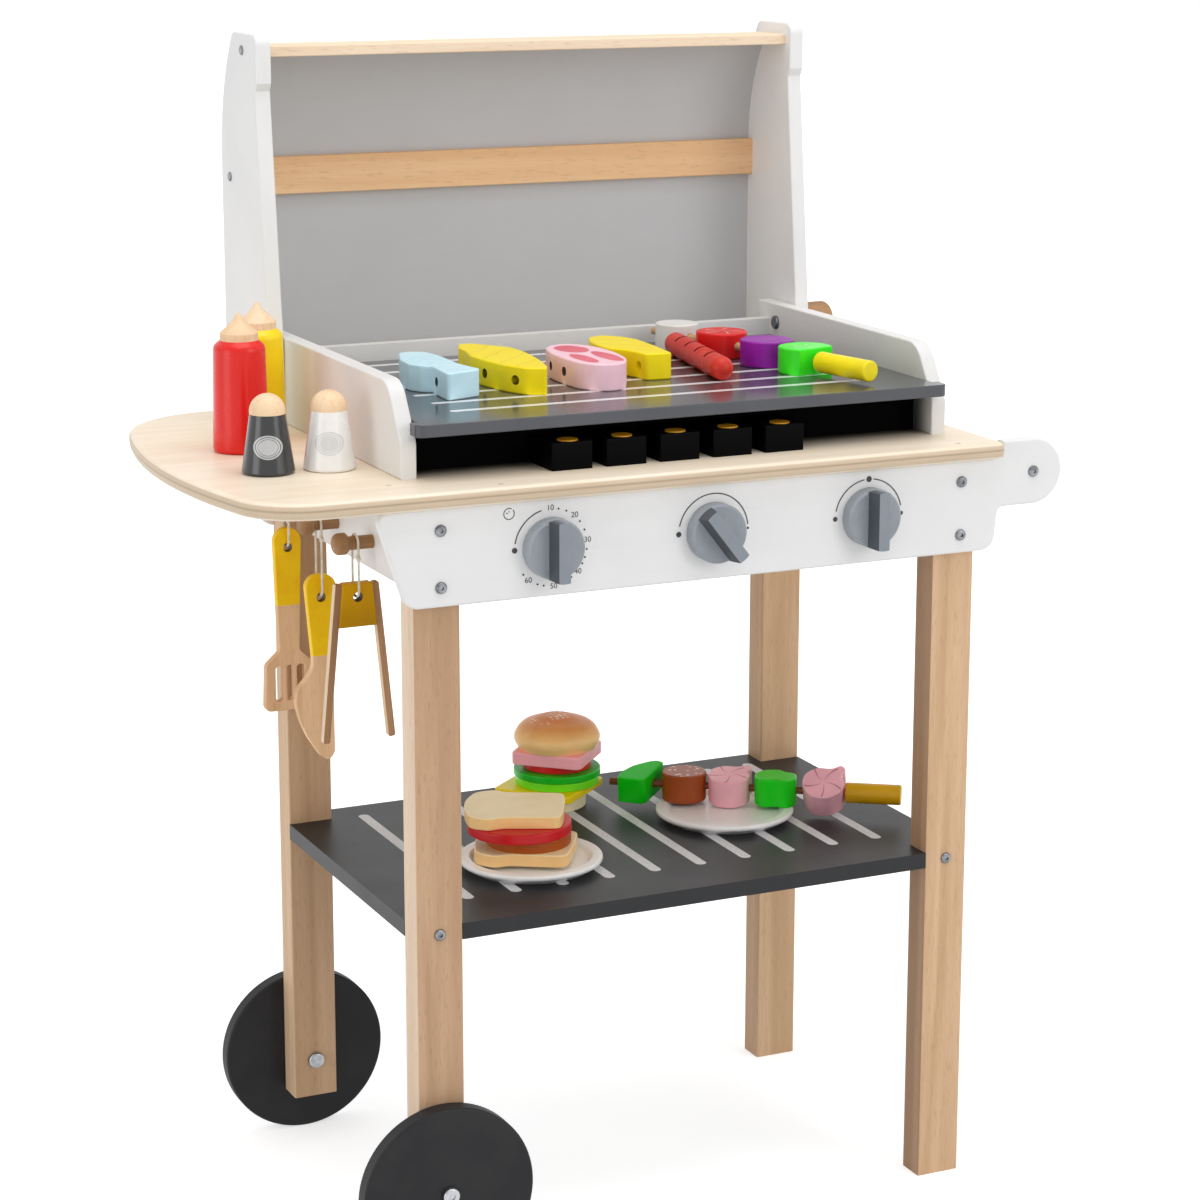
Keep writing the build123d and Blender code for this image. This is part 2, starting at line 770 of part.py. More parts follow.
def peg(y):
    """One turned peg, its head pointing left."""
    head_end = peg_head_start + peg_head_length
    body = turned([
        (0, -apron_thickness, 0), (peg_tenon_radius, -apron_thickness, 0), (peg_tenon_radius, 0, 0),
        (peg_shaft_radius, 0, 0), (peg_shaft_radius, peg_head_start, 0),
        (peg_head_radius, peg_head_start + peg_flare_length, 0),
        (peg_head_radius, head_end, peg_head_round), (0, head_end, 0)])
    return facing_left(left_apron_outer, y, peg_z) * body


parts["utensil_pegs"] = group([peg(y) for y in peg_ys])

# Grill box: two sides with sloping noses, joined by a rail at the back
grill_side_face = outline([
    (grill_front_setback, worktop_top_height, 0),
    (grill_front_setback, worktop_top_height + grill_nose_height, grill_nose_round),
    (grill_front_setback + grill_nose_run, worktop_top_height + grill_side_height, grill_top_front_round),
    (grill_back, worktop_top_height + grill_side_height, 0),
    (grill_back, worktop_top_height, 0)])


def grill_side(x_from):
    """A grill side with its pivot hole."""
    x_to = x_from + grill_side_thickness
    side = end_rounded(slab_yz(grill_side_face, x_from, x_to), Axis.X, grill_edge_round)
    return side - rod_x(pivot_radius + fixed_fit, x_from, x_to, pivot_y, pivot_z)


grill_inner_left = grill_left + grill_side_thickness
grill_inner_right = grill_right - grill_side_thickness
parts["grill_side_left"] = grill_side(grill_left)
parts["grill_side_right"] = grill_side(grill_inner_right)
rail_back = grill_back - rear_rail_inset
rail_front = rail_back - rear_rail_thickness
parts["grill_rear_rail"] = block(grill_inner_left, grill_inner_right, rail_front, rail_back,
                                 worktop_top_height, worktop_top_height + rear_rail_height)

# Grill plate: a board between the sides with a wider lip in front of them
lip_back = plate_lip_front + plate_lip_depth
lip_left = grill_inner_left - plate_lip_side_reach
lip_right = grill_inner_right + plate_lip_side_reach
plate_left = grill_inner_left + plate_side_gap
plate_right = grill_inner_right - plate_side_gap
plate_back = rail_front - plate_side_gap
plate_face = outline([
    (lip_left, plate_lip_front, plate_lip_round), (lip_right, plate_lip_front, plate_lip_round),
    (lip_right, lip_back, 0), (plate_right, lip_back, 0), (plate_right, plate_back, 0),
    (plate_left, plate_back, 0), (plate_left, lip_back, 0), (lip_left, lip_back, 0)])
parts["grill_plate"] = end_rounded(slab_xy(plate_face, plate_bottom, plate_top), Axis.Z, plate_edge_round)

rest_back = rest_front + rest_length
rest_foot = plate_bottom - rest_height
parts["plate_rests"] = group([
    block(grill_inner_left, grill_inner_left + rest_width, rest_front, rest_back, rest_foot, plate_bottom),
    block(grill_inner_right - rest_width, grill_inner_right, rest_front, rest_back,
          rest_foot, plate_bottom)])

# Burner board across the front under the plate, with five burners and their amber discs
parts["burner_board"] = block(grill_inner_left, grill_inner_right, burner_board_front,
                              burner_board_front + burner_board_thickness,
                              worktop_top_height, plate_bottom)
burner_top = worktop_top_height + burner_height
burner_front = burner_board_front - burner_depth
burner_steps = [step - (burner_count - 1) * half for step in range(burner_count)]
burner_xs = [burner_centre_across + burner_spacing * step for step in burner_steps]
burners = []
for x in burner_xs:
    burner = block(x - burner_width * half, x + burner_width * half,
                   burner_front, burner_board_front, worktop_top_height, burner_top)
    front_edges = burner.edges().filter_by(Axis.Z).group_by(Axis.Y)[0]
    top_edges = burner.edges().group_by(Axis.Z)[-1].filter_by(Axis.X).group_by(Axis.Y)[0]
    burners.append(fillet(front_edges + top_edges, burner_edge_round))
parts["burner_blocks"] = group(burners)
parts["burner_discs"] = group([
    rod_z(burner_disc_radius, burner_top, burner_top + burner_disc_thickness,
          x, burner_front + burner_disc_from_front) for x in burner_xs])

# Hood sides: upright boards that curl forward at the top and end in a stepped front edge
lean = math.radians(hood_curl_lean)
curl_run = hood_top_corner_round * math.tan((math.radians(right_angle) - lean) * half) * 1.06
curl_centre_y = hood_back - hood_curl_radius
curl_centre_z = hood_top - hood_curl_radius * math.sin(lean) - curl_run * math.cos(lean)
curl_corner_z = curl_centre_z + hood_curl_radius * math.tan(lean * half)
curl_end_y = (hood_back - hood_curl_radius * (1 - math.cos(lean)) - curl_run * math.sin(lean))
foot_front_y = pivot_y - hood_foot_front
brow_y = pivot_y + hood_brow_back
hood_side_face = outline([
    (foot_front_y, hood_foot, hood_foot_front_round),
    (hood_back, hood_foot, hood_foot_back_round),
    (hood_back, curl_corner_z, hood_curl_radius),
    (curl_end_y, hood_top, hood_top_corner_round),
    (brow_y, hood_top, hood_brow_round),
    (brow_y, hood_top - hood_brow_drop, 0),
    (pivot_y + hood_shoulder_back, hood_top - hood_shoulder_drop, 0),
    (foot_front_y, pivot_z + hood_flank_start, 0)])
top_board_top = hood_top - hood_top_board_drop
top_board_bottom = top_board_top - hood_top_board_thickness
top_board_front = pivot_y + hood_top_board_setback
sheet_outer_radius = hood_curl_radius - hood_sheet_inset
sheet_inner_radius = sheet_outer_radius - hood_sheet_thickness
sheet_back = curl_centre_y + sheet_outer_radius
sheet_front = curl_centre_y + sheet_inner_radius
sheet_top_reach = math.sqrt(sheet_outer_radius ** 2 - (top_board_bottom - curl_centre_z) ** 2)
top_board_back = curl_centre_y + sheet_top_reach
slat_top = curl_centre_z
slat_front = sheet_front - hood_slat_thickness
upper_screw = (top_board_back - hood_upper_screw_forward, (top_board_top + top_board_bottom) * half)
lower_screw = ((slat_front + sheet_front) * half, slat_top - hood_lower_screw_drop)


def hood_side(x_from):
    """A hood side with a running bore at the pivot and holes for its two screws."""
    x_to = x_from + hood_side_thickness
    side = end_rounded(slab_yz(hood_side_face, x_from, x_to), Axis.X, hood_edge_round)
    side -= rod_x(pivot_radius + running_fit, x_from, x_to, pivot_y, pivot_z)
    for y, z in (upper_screw, lower_screw):
        side -= rod_x(hood_screw_radius + fixed_fit, x_from, x_to, y, z)
    return side


parts["lid_side_left"] = hood_side(hood_left - hood_side_thickness)
parts["lid_side_right"] = hood_side(hood_right)

# Hood sheet: upright, then bent forward round the same centre as the sides
sheet_foot = hood_foot + hood_sheet_foot
ring = Circle(sheet_outer_radius) - Circle(sheet_inner_radius)
arc_height = top_board_bottom - curl_centre_z
arc_window = Pos(sheet_outer_radius * half, arc_height * half) * Rectangle(sheet_outer_radius, arc_height)
sheet_arc = Pos(curl_centre_y, curl_centre_z) * (ring & arc_window)
sheet_upright = Pos((sheet_front + sheet_back) * half, (sheet_foot + curl_centre_z) * half) * Rectangle(
    hood_sheet_thickness, curl_centre_z - sheet_foot)
parts["lid_sheet"] = slab_yz(sheet_arc + sheet_upright, hood_left, hood_right)


screw_hole_depth = hood_screw_bite + bolt_end_gap


def screwed_board(y_from, y_to, z_from, z_to, screw):
    """A board between the hood sides, drilled at both ends for one screw each."""
    board = block(hood_left, hood_right, y_from, y_to, z_from, z_to)
    board = fillet(board.edges().filter_by(Axis.X), board_edge_round)
    hole = hood_screw_radius + fixed_fit
    board -= rod_x(hole, hood_left, hood_left + screw_hole_depth, *screw)
    return board - rod_x(hole, hood_right - screw_hole_depth, hood_right, *screw)


parts["lid_slat"] = screwed_board(
    slat_front, sheet_front, slat_top - hood_slat_height, slat_top, lower_screw)
parts["lid_top_board"] = screwed_board(top_board_front, top_board_back, top_board_bottom,
                                       top_board_top, upper_screw)

hood_screw = (button(hood_screw_head_radius, hood_screw_head_height, hood_screw_head_round)
              + rod_z(hood_screw_radius, -hood_side_thickness - hood_screw_bite, 0, 0, 0))
hood_screws = []
for y, z in (upper_screw, lower_screw):
    hood_screws.append(facing_left(hood_left - hood_side_thickness, y, z) * hood_screw)
    hood_screws.append(facing_right(hood_right + hood_side_thickness, y, z) * hood_screw)
parts["lid_screws"] = group(hood_screws)

# Pivots: screws from inside the grill sides, ending in a cap on the left and a knob on the right
pivot_head = button(pivot_head_radius, pivot_head_height, pivot_head_round)
cap_inner = hood_left - hood_side_thickness - pivot_cap_gap
pivot_knob_inner = hood_right + hood_side_thickness + pivot_cap_gap
left_pivot = (facing_right(grill_inner_left, pivot_y, pivot_z) * pivot_head
              + rod_x(pivot_radius, cap_inner, grill_inner_left, pivot_y, pivot_z)
              + facing_left(cap_inner, pivot_y, pivot_z) * button(
                  pivot_cap_radius, pivot_cap_thickness, pivot_head_round))
right_pivot = (facing_left(grill_inner_right, pivot_y, pivot_z) * pivot_head
               + rod_x(pivot_radius, grill_inner_right, pivot_knob_inner + pivot_knob_bite,
                       pivot_y, pivot_z))
parts["lid_pivot_screws"] = group([left_pivot, right_pivot])
pivot_knob = button(pivot_knob_radius, pivot_knob_length, pivot_knob_round)
pivot_knob -= rod_z(pivot_radius + fixed_fit, 0, pivot_knob_bite + bolt_end_gap, 0, 0)
parts["lid_pivot_knob"] = facing_right(pivot_knob_inner, pivot_y, pivot_z) * pivot_knob

# Utensils: each hangs by a string loop round its peg, and swings with it
loop_radius = peg_shaft_radius + string_peg_gap + string_radius
tongs_y, knife_y, spatula_y = peg_ys
string_left = string_inset_from_head + string_radius - peg_neck_reach


def loop_centre_above_hole(thickness):
    """How far the centre of a loop's lower bend lies above the hole that it carries."""
    inner = loop_radius - string_radius
    drop = math.sqrt(inner ** 2 - (thickness * half) ** 2)
    return drop + string_hole_gap * -1 + utensil_hole_radius


def string_loop(x, y, hole_z, thickness):
    """A string: two straight runs joined by half turns round the peg and through the hole."""
    low_z = hole_z + loop_centre_above_hole(thickness)
    path = (Line((-loop_radius, low_z), (-loop_radius, peg_z))
            + CenterArc((0, peg_z), loop_radius, 2 * right_angle, -2 * right_angle)
            + Line((loop_radius, peg_z), (loop_radius, low_z))
            + CenterArc((0, low_z), loop_radius, 0, -2 * right_angle))
    standing = Plane((x, y, 0), x_dir=(0, 1, 0), z_dir=(1, 0, 0)) * path
    start = Plane((x, y - loop_radius, low_z), x_dir=(1, 0, 0), z_dir=(0, 0, 1))
    return sweep(start * Circle(string_radius), path=standing)


def utensil_blank(face, x, y, top_z, thickness):
    """A utensil cut from a board, drawn from its top middle and hung at a place."""
    place = Pos(x, 0, top_z)
    return place * end_rounded(slab_xz(face, y - thickness * half, y + thickness * half),
                               Axis.Y, utensil_edge_round)


# Spatula: a narrow handle, round at the top, and a blade with three slots
spatula_top = peg_z - spatula_top_drop
spatula_x = string_left
spatula_face = outline([
    (-spatula_handle_half_width, 0, spatula_handle_half_width * 0.96),
    (spatula_handle_half_width, 0, spatula_handle_half_width * 0.96),
    (spatula_neck_half_width, -spatula_neck_drop, spatula_corner_round),
    (spatula_shoulder_half_width, -spatula_shoulder_drop, spatula_corner_round),
    (spatula_blade_half_width, -spatula_length, spatula_corner_round),
    (-spatula_blade_half_width, -spatula_length, spatula_corner_round),
    (-spatula_shoulder_half_width, -spatula_shoulder_drop, spatula_corner_round),
    (-spatula_neck_half_width, -spatula_neck_drop, spatula_corner_round)])
spatula_face -= Pos(0, -spatula_hole_drop) * Circle(utensil_hole_radius)
for step in range(spatula_slot_count):
    across = (step - (spatula_slot_count - 1) * half) * spatula_slot_spacing
    spatula_face -= Pos(across, -spatula_slot_drop) * SlotOverall(
        spatula_slot_length, spatula_slot_width, rotation=right_angle)
parts["spatula"] = utensil_blank(spatula_face, spatula_x, spatula_y, spatula_top, utensil_thickness)
parts["spatula_loop"] = string_loop(spatula_x, spatula_y, spatula_top - spatula_hole_drop, utensil_thickness)

# Knife: a handle with a wide curved blade
knife_top = peg_z - knife_top_drop
knife_x = string_left + knife_hang_inset
knife_face = smooth_outline([(x * knife_width, y * knife_length) for x, y in knife_shares])
knife_face -= Pos(0, -knife_hole_drop) * Circle(utensil_hole_radius)
parts["knife"] = utensil_blank(knife_face, knife_x, knife_y, knife_top, utensil_thickness)
parts["knife_loop"] = string_loop(knife_x, knife_y, knife_top - knife_hole_drop, utensil_thickness)

# Tongs: a block that carries two slanted arms, one glued to each side
tongs_top = peg_z - tongs_block_top_drop
tongs_x = string_left + tongs_block_round
block_foot = -tongs_block_height
tongs_face = outline([
    (-tongs_block_half_width, 0, tongs_block_round), (tongs_block_half_width, 0, tongs_block_round),
    (tongs_block_foot_half_width, block_foot, 0), (-tongs_block_foot_half_width, block_foot, 0)])
tongs_face -= Pos(0, -tongs_hole_drop) * Circle(utensil_hole_radius)
tongs_shift = Pos(tongs_x, 0, tongs_top)
tongs_half = tongs_block_thickness * half
parts["tongs_block"] = tongs_shift * end_rounded(
    slab_xz(tongs_face, tongs_y - tongs_half, tongs_y + tongs_half), Axis.Y, utensil_edge_round)
arm_slope = math.degrees(math.atan2(tongs_block_foot_half_width - tongs_block_half_width,
                                    tongs_block_height))
arms = []
for side in (-1, 1):
    arm = block(0, tongs_arm_width, tongs_y - tongs_arm_depth * half, tongs_y + tongs_arm_depth * half,
                -tongs_arm_length, 0)
    arm = fillet(arm.edges().group_by(Axis.Z)[0] + arm.edges().group_by(Axis.Z)[-1], tongs_arm_round)
    arm = Rot(0, arm_slope * -1, 0) * arm
    arm = Pos(tongs_block_half_width, 0, 0) * arm
    arms.append(tongs_shift * (arm if side > 0 else mirror(arm, about=Plane.YZ)))
parts["tongs_arms"] = group(arms)
parts["tongs_loop"] = string_loop(tongs_x, tongs_y, tongs_top - tongs_hole_drop, tongs_block_thickness)


# Bottles: round bodies with turned caps that rise to a point
def bottle(x, y):
    """A bottle body standing on the worktop."""
    body = turned([
        (0, 0, 0), (bottle_foot_radius, 0, bottle_foot_round),
        (bottle_shoulder_radius, bottle_shoulder_height, bottle_shoulder_round),
        (bottle_neck_radius, bottle_body_height, 0), (0, bottle_body_height, 0)])
    return Pos(x, y, worktop_top_height) * body


def bottle_cap(x, y):
    """A cap: a plain ring under a hollow-sided cone."""
    cap = turned([
        (0, 0, 0), (cap_radius, 0, 0), (cap_radius, cap_ring_height, cap_tip_radius),
        (cap_waist_radius, cap_waist_height, cap_radius), (cap_tip_radius, cap_height, 0),
        (0, cap_height, 0)])
    return Pos(x, y, worktop_top_height + bottle_body_height) * cap


bottle_places = ((-red_bottle_left, red_bottle_back), (-yellow_bottle_left, yellow_bottle_back))
parts["red_bottle"] = bottle(*bottle_places[0])
parts["yellow_bottle"] = bottle(*bottle_places[1])
parts["bottle_caps"] = group([bottle_cap(*place) for place in bottle_places])


# Shakers: plain cones under turned domes
def shaker(x, y):
    """A shaker body standing on the worktop."""
    body = turned([(0, 0, 0), (shaker_foot_radius, 0, shaker_foot_round),
                   (shaker_top_radius, shaker_body_height, 0), (0, shaker_body_height, 0)])
    return Pos(x, y, worktop_top_height) * body


shaker_places = ((-pepper_left, pepper_back), (-salt_left, salt_back))
parts["pepper_shaker"] = shaker(*shaker_places[0])
parts["salt_shaker"] = shaker(*shaker_places[1])
dome_radius = math.hypot(shaker_top_radius, shaker_dome_rise)
domes = []
for x, y in shaker_places:
    base_z = worktop_top_height + shaker_body_height
    ball = Pos(x, y, base_z + shaker_dome_rise) * Sphere(dome_radius)
    above = rod_z(2 * dome_radius, base_z, base_z + 2 * dome_radius, x, y)
    domes.append(ball & above)
parts["shaker_domes"] = group(domes)


def on_plate(offset, back_share):
    """A place on the grill plate from an offset beside its middle and a share of its depth."""
    return ((plate_left + plate_right) * half + offset, lip_back + (plate_back - lip_back) * back_share)


def on_shelf(place_shares):
    """A place on the shelf from shares of the stance."""
    across, back = place_shares
    return (stance_width * across, stance_depth * back)


# Play food on the grill plate: flat shapes cut from thick board, some drilled from the side
def food_slab(face, x, y, turn, z, thickness):
    """A food shape lying at a place, turned about Z, with eased top and bottom edges."""
    slab = end_rounded(extrude(face, amount=thickness), Axis.Z, food_edge_round)
    return Pos(x, y, z) * Rot(0, 0, turn) * slab


def bored_slab(face, place, alongs, reach):
    """A food shape on the grill plate, bored from its left side to its middle at places along it."""
    solid = food_slab(face, *place, 0, plate_top, food_thickness)
    for along in alongs:
        bore = rod_x(food_hole_radius, -reach, 0, along, 0)
        solid -= Pos(*place, plate_top + food_thickness * half) * bore
    return solid


parts["blue_fish"] = bored_slab(
    scaled_outline(fish_shares, blue_fish_length, crisp_run_share),
    on_plate(blue_fish_offset, blue_fish_back_share), (blue_fish_length * -0.25,), blue_fish_length)

long_fish = []
for shares, length, offset, back_share in (
        (long_fish_shares, left_yellow_fish_length, left_yellow_fish_offset, left_yellow_fish_back_share),
        (tailed_fish_shares, right_yellow_fish_length, right_yellow_fish_offset,
         right_yellow_fish_back_share)):
    long_fish.append(bored_slab(
        scaled_outline(shares, length, crisp_run_share), on_plate(offset, back_share),
        (length * -0.1, length * -0.38), length))
parts["yellow_fish"] = group(long_fish)

parts["steak"] = bored_slab(
    scaled_outline(steak_shares, steak_length), on_plate(steak_offset, steak_back_share),
    (steak_length * 0.16, steak_length * -0.1), steak_length)

sausage_z = plate_top + sausage_radius
sausage = Rot(right_angle, 0, 0) * Cylinder(sausage_radius, sausage_length - 2 * sausage_radius)
for end in (-1, 1):
    sausage += Pos(0, end * (sausage_length * half - sausage_radius), 0) * Sphere(sausage_radius)
for step in range(sausage_cut_count):
    along = (step - (sausage_cut_count - 1) * half) * sausage_cut_spacing
    cut_low = sausage_radius - sausage_cut_depth
    sausage -= block(-sausage_radius, sausage_radius, along - sausage_cut_width * half,
                     along + sausage_cut_width * half, cut_low, 2 * sausage_radius)
sausage_place = on_plate(sausage_offset, sausage_back_share)
parts["sausage"] = Pos(*sausage_place, sausage_z) * Rot(0, 0, -sausage_angle) * sausage


# Skewers: a stick with pieces threaded on it and a handle at the end
def skewer(start, end, z, handle_length, faces, alongs, thickness, piece_turns):
    """A skewer along a level line, its pieces lying flat on it or turned about it."""
    run = math.hypot(end[0] - start[0], end[1] - start[1])
    turn = math.degrees(math.atan2(end[1] - start[1], end[0] - start[0]))
    line_place = Pos(start[0], start[1], z) * Rot(0, 0, turn)
    handle_start = run - handle_length
    stick = rod_x(stick_radius, 0, handle_start, 0, 0)
    handle = rod_x(skewer_handle_radius, handle_start, run, 0, 0)
    handle = end_rounded(handle, Axis.X, skewer_handle_round)
    pieces = []
    for face, along, piece_turn in zip(faces, alongs, piece_turns):
        piece = end_rounded(extrude(face, amount=thickness), Axis.Z, food_edge_round)
        pieces.append(Pos(along, 0, 0) * Rot(piece_turn, 0, 0) * Pos(0, 0, -thickness * half) * piece)
    bar = stick
    for piece in pieces:
        bar -= piece
    return group([line_place * solid for solid in bar.solids()]
                 + [line_place * piece for piece in pieces] + [line_place * handle])


grill_faces = [Circle(radius) for radius in grill_piece_radii]
flat_cut = Pos(grill_piece_radii[-1] * 1.6, 0) * Rectangle(
    2 * grill_piece_radii[-1], 2 * grill_piece_radii[-1])
grill_faces[-1] = grill_faces[-1] - flat_cut
parts["grill_skewer"] = skewer(
    on_plate(grill_skewer_tip_offset, grill_skewer_tip_share),
    on_plate(grill_skewer_end_offset, grill_skewer_end_share),
    plate_top + food_thickness * half, grill_handle_length, grill_faces, grill_piece_alongs,
    food_thickness, [0] * len(grill_faces))


# Dishes: shallow turned dishes with a raised rim
def dish(x, y):
    """A dish on the shelf."""
    well = dish_radius - dish_rim_width
    body = turned([
        (0, 0, 0), (dish_radius - dish_foot_inset, 0, 0),
        (dish_radius, dish_thickness - dish_rim_round, dish_rim_round),
        (dish_radius - dish_rim_round, dish_thickness, dish_rim_round * half),
        (well, dish_thickness, dish_rim_round * half),
        (well - dish_well_depth, dish_thickness - dish_well_depth, 0),
        (0, dish_thickness - dish_well_depth, 0)])
    return Pos(x, y, shelf_top_height) * body


left_dish = on_shelf(left_dish_place_shares)
right_dish = on_shelf(right_dish_place_shares)
parts["plates"] = group([dish(*left_dish), dish(*right_dish)])


# Burger: a pile of turned and square layers under a domed bun
def rounded_square(width, corner):
    """A flat square with rounded corners."""
    return RectangleRounded(width, width, corner)


burger_layers = (
    (Circle(burger_foot_radius), burger_foot_height, 0, -burger_foot_shift),
    (rounded_square(cheese_width, cheese_corner_round), cheese_thickness, cheese_turn, -cheese_shift),
    (Circle(lower_leaf_radius), lower_leaf_thickness, 0, 0),
    (Circle(upper_leaf_radius), upper_leaf_thickness, 0, 0),
    (Circle(tomato_radius), tomato_thickness, 0, 0),
    (rounded_square(ham_width, ham_corner_round), ham_thickness, ham_turn, 0))
burger = []
burger_across, burger_back = on_shelf(burger_place_shares)
layer_z = shelf_top_height
for face, thickness, turn, shift in burger_layers:
    burger.append(food_slab(face, burger_across + shift, burger_back, turn, layer_z, thickness))
    layer_z += thickness
bun_middle = burger_bun_height * 0.34
bun = turned([
    (0, 0, 0), (burger_bun_radius * 0.86, 0, 0), (burger_bun_radius, bun_middle, burger_bun_height * 0.3),
    (burger_bun_radius * 0.82, burger_bun_height * 0.76, burger_bun_height * 0.6),
    (burger_bun_radius * 0.3, burger_bun_height, burger_bun_height * 0.8),
    (0, burger_bun_height, 0)])
burger.append(Pos(burger_across, burger_back, layer_z) * bun)
parts["burger"] = group(burger)

# Sandwich: two slices of bread with a patty and a round slice between them, on the left dish's rim
bread_face = scaled_outline(bread_shares, bread_length)
sandwich_layers = (
    (bread_face, bread_thickness, lower_bread_turn, lower_bread_left, lower_bread_back),
    (Circle(patty_radius), patty_thickness, 0, patty_left, patty_back),
    (Circle(slice_radius), slice_thickness, 0, slice_left, slice_back),
    (bread_face, bread_thickness, upper_bread_turn, upper_bread_left, upper_bread_back))
sandwich = []
layer_z = shelf_top_height + dish_thickness
for face, thickness, turn, left, back in sandwich_layers:
    sandwich.append(food_slab(face, left_dish[0] - left, left_dish[1] + back, turn, layer_z, thickness))
    layer_z += thickness
parts["sandwich"] = group(sandwich)

# Skewer on the right dish
shelf_faces = [
    scaled_outline(leaf_piece_shares, shelf_piece_radius, crisp_run_share),
    Circle(shelf_piece_radius),
    scaled_outline(shrimp_piece_shares, shelf_piece_radius),
    scaled_outline(pepper_piece_shares, shelf_piece_radius),
    scaled_outline(shrimp_piece_shares, shelf_piece_radius)]
parts["shelf_skewer"] = skewer(
    on_shelf(shelf_skewer_tip_shares), on_shelf(shelf_skewer_end_shares),
    shelf_top_height + dish_thickness + shelf_piece_thickness * half, shelf_handle_length,
    shelf_faces, shelf_piece_alongs, shelf_piece_thickness, shelf_piece_turns)

# Move every piece so that the origin is the middle of the footprint, on the floor
knob_reach = -knob_front + knob_disc_depth + knob_grip_depth
middle_x = (worktop_far_left + ear_x + ear_radius) * half
middle_y = (hood_back - knob_reach) * half
print("middle of the footprint", round(middle_x, 3), round(middle_y, 3))
os.makedirs("parts", exist_ok=True)
for name, shape in parts.items():
    export_step(Pos(-middle_x, -middle_y, 0) * shape, f"parts/{name}.step")
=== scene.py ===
# %% Load the frame
import bpy
import numpy as np
from math import pi, sin, cos, radians, hypot, atan2
from mathutils import Matrix, Vector


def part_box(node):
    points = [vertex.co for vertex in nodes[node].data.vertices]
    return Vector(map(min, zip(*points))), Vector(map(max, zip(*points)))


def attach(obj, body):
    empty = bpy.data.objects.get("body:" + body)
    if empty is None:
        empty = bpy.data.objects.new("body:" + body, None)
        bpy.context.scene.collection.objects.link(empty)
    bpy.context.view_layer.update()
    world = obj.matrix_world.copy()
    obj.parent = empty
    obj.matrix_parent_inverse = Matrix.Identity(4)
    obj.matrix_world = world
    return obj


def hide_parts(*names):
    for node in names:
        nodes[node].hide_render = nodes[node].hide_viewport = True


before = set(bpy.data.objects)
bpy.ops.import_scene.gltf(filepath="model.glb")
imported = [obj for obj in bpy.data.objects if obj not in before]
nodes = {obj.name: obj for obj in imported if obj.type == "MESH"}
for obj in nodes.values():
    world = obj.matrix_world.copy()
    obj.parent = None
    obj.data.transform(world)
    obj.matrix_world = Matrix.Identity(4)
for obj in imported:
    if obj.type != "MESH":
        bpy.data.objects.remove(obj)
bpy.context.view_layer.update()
MM = 0.001

# %% [markdown]
# The object is a wooden toy barbecue grill on four legs and two wheels, with play food on it.
# Sawn and turned wood keeps its CAD shape, so the looks here are mostly finishes.
# Each finish is a small network of noise and masks read from the place on the object, in metres.
# Lengths in the drawing are millimetres from the front left leg, so one helper converts them.

# %% Places and colours
LEG_CORNER = (-193.25, -172.8)


def spot(x, y, z):
    """A place given in millimetres from the front left leg's corner, in metres of the frame."""
    return ((x + LEG_CORNER[0]) * MM, (y + LEG_CORNER[1]) * MM, z * MM)


def x_of(x):
    """The frame's x for millimetres to the right of the leg's corner."""
    return spot(x, 0, 0)[0]


def y_of(y):
    """The frame's y for millimetres behind the leg's corner."""
    return spot(0, y, 0)[1]


def colour(red, green, blue):
    """A screen colour of 0 to 255 as linear light."""
    levels = np.array([red, green, blue]) / 255
    linear = np.where(levels < 0.04045, levels / 12.92, ((levels + 0.055) / 1.055) ** 2.4)
    return (*linear.tolist(), 1.0)


def dimmed(tone, share):
    """A linear colour with its light cut to a share."""
    return tuple(level * share for level in tone[:3]) + (1.0,)


print("front left leg corner at", spot(0, 0, 0))

# %% [markdown]
# A finish starts from a place on the object and ends at one shader.
# The classes keep the calls short: they add a node, join its sockets and hand its output back.
# Masks are soft steps a fraction of a millimetre wide, as a painted edge on wood is.

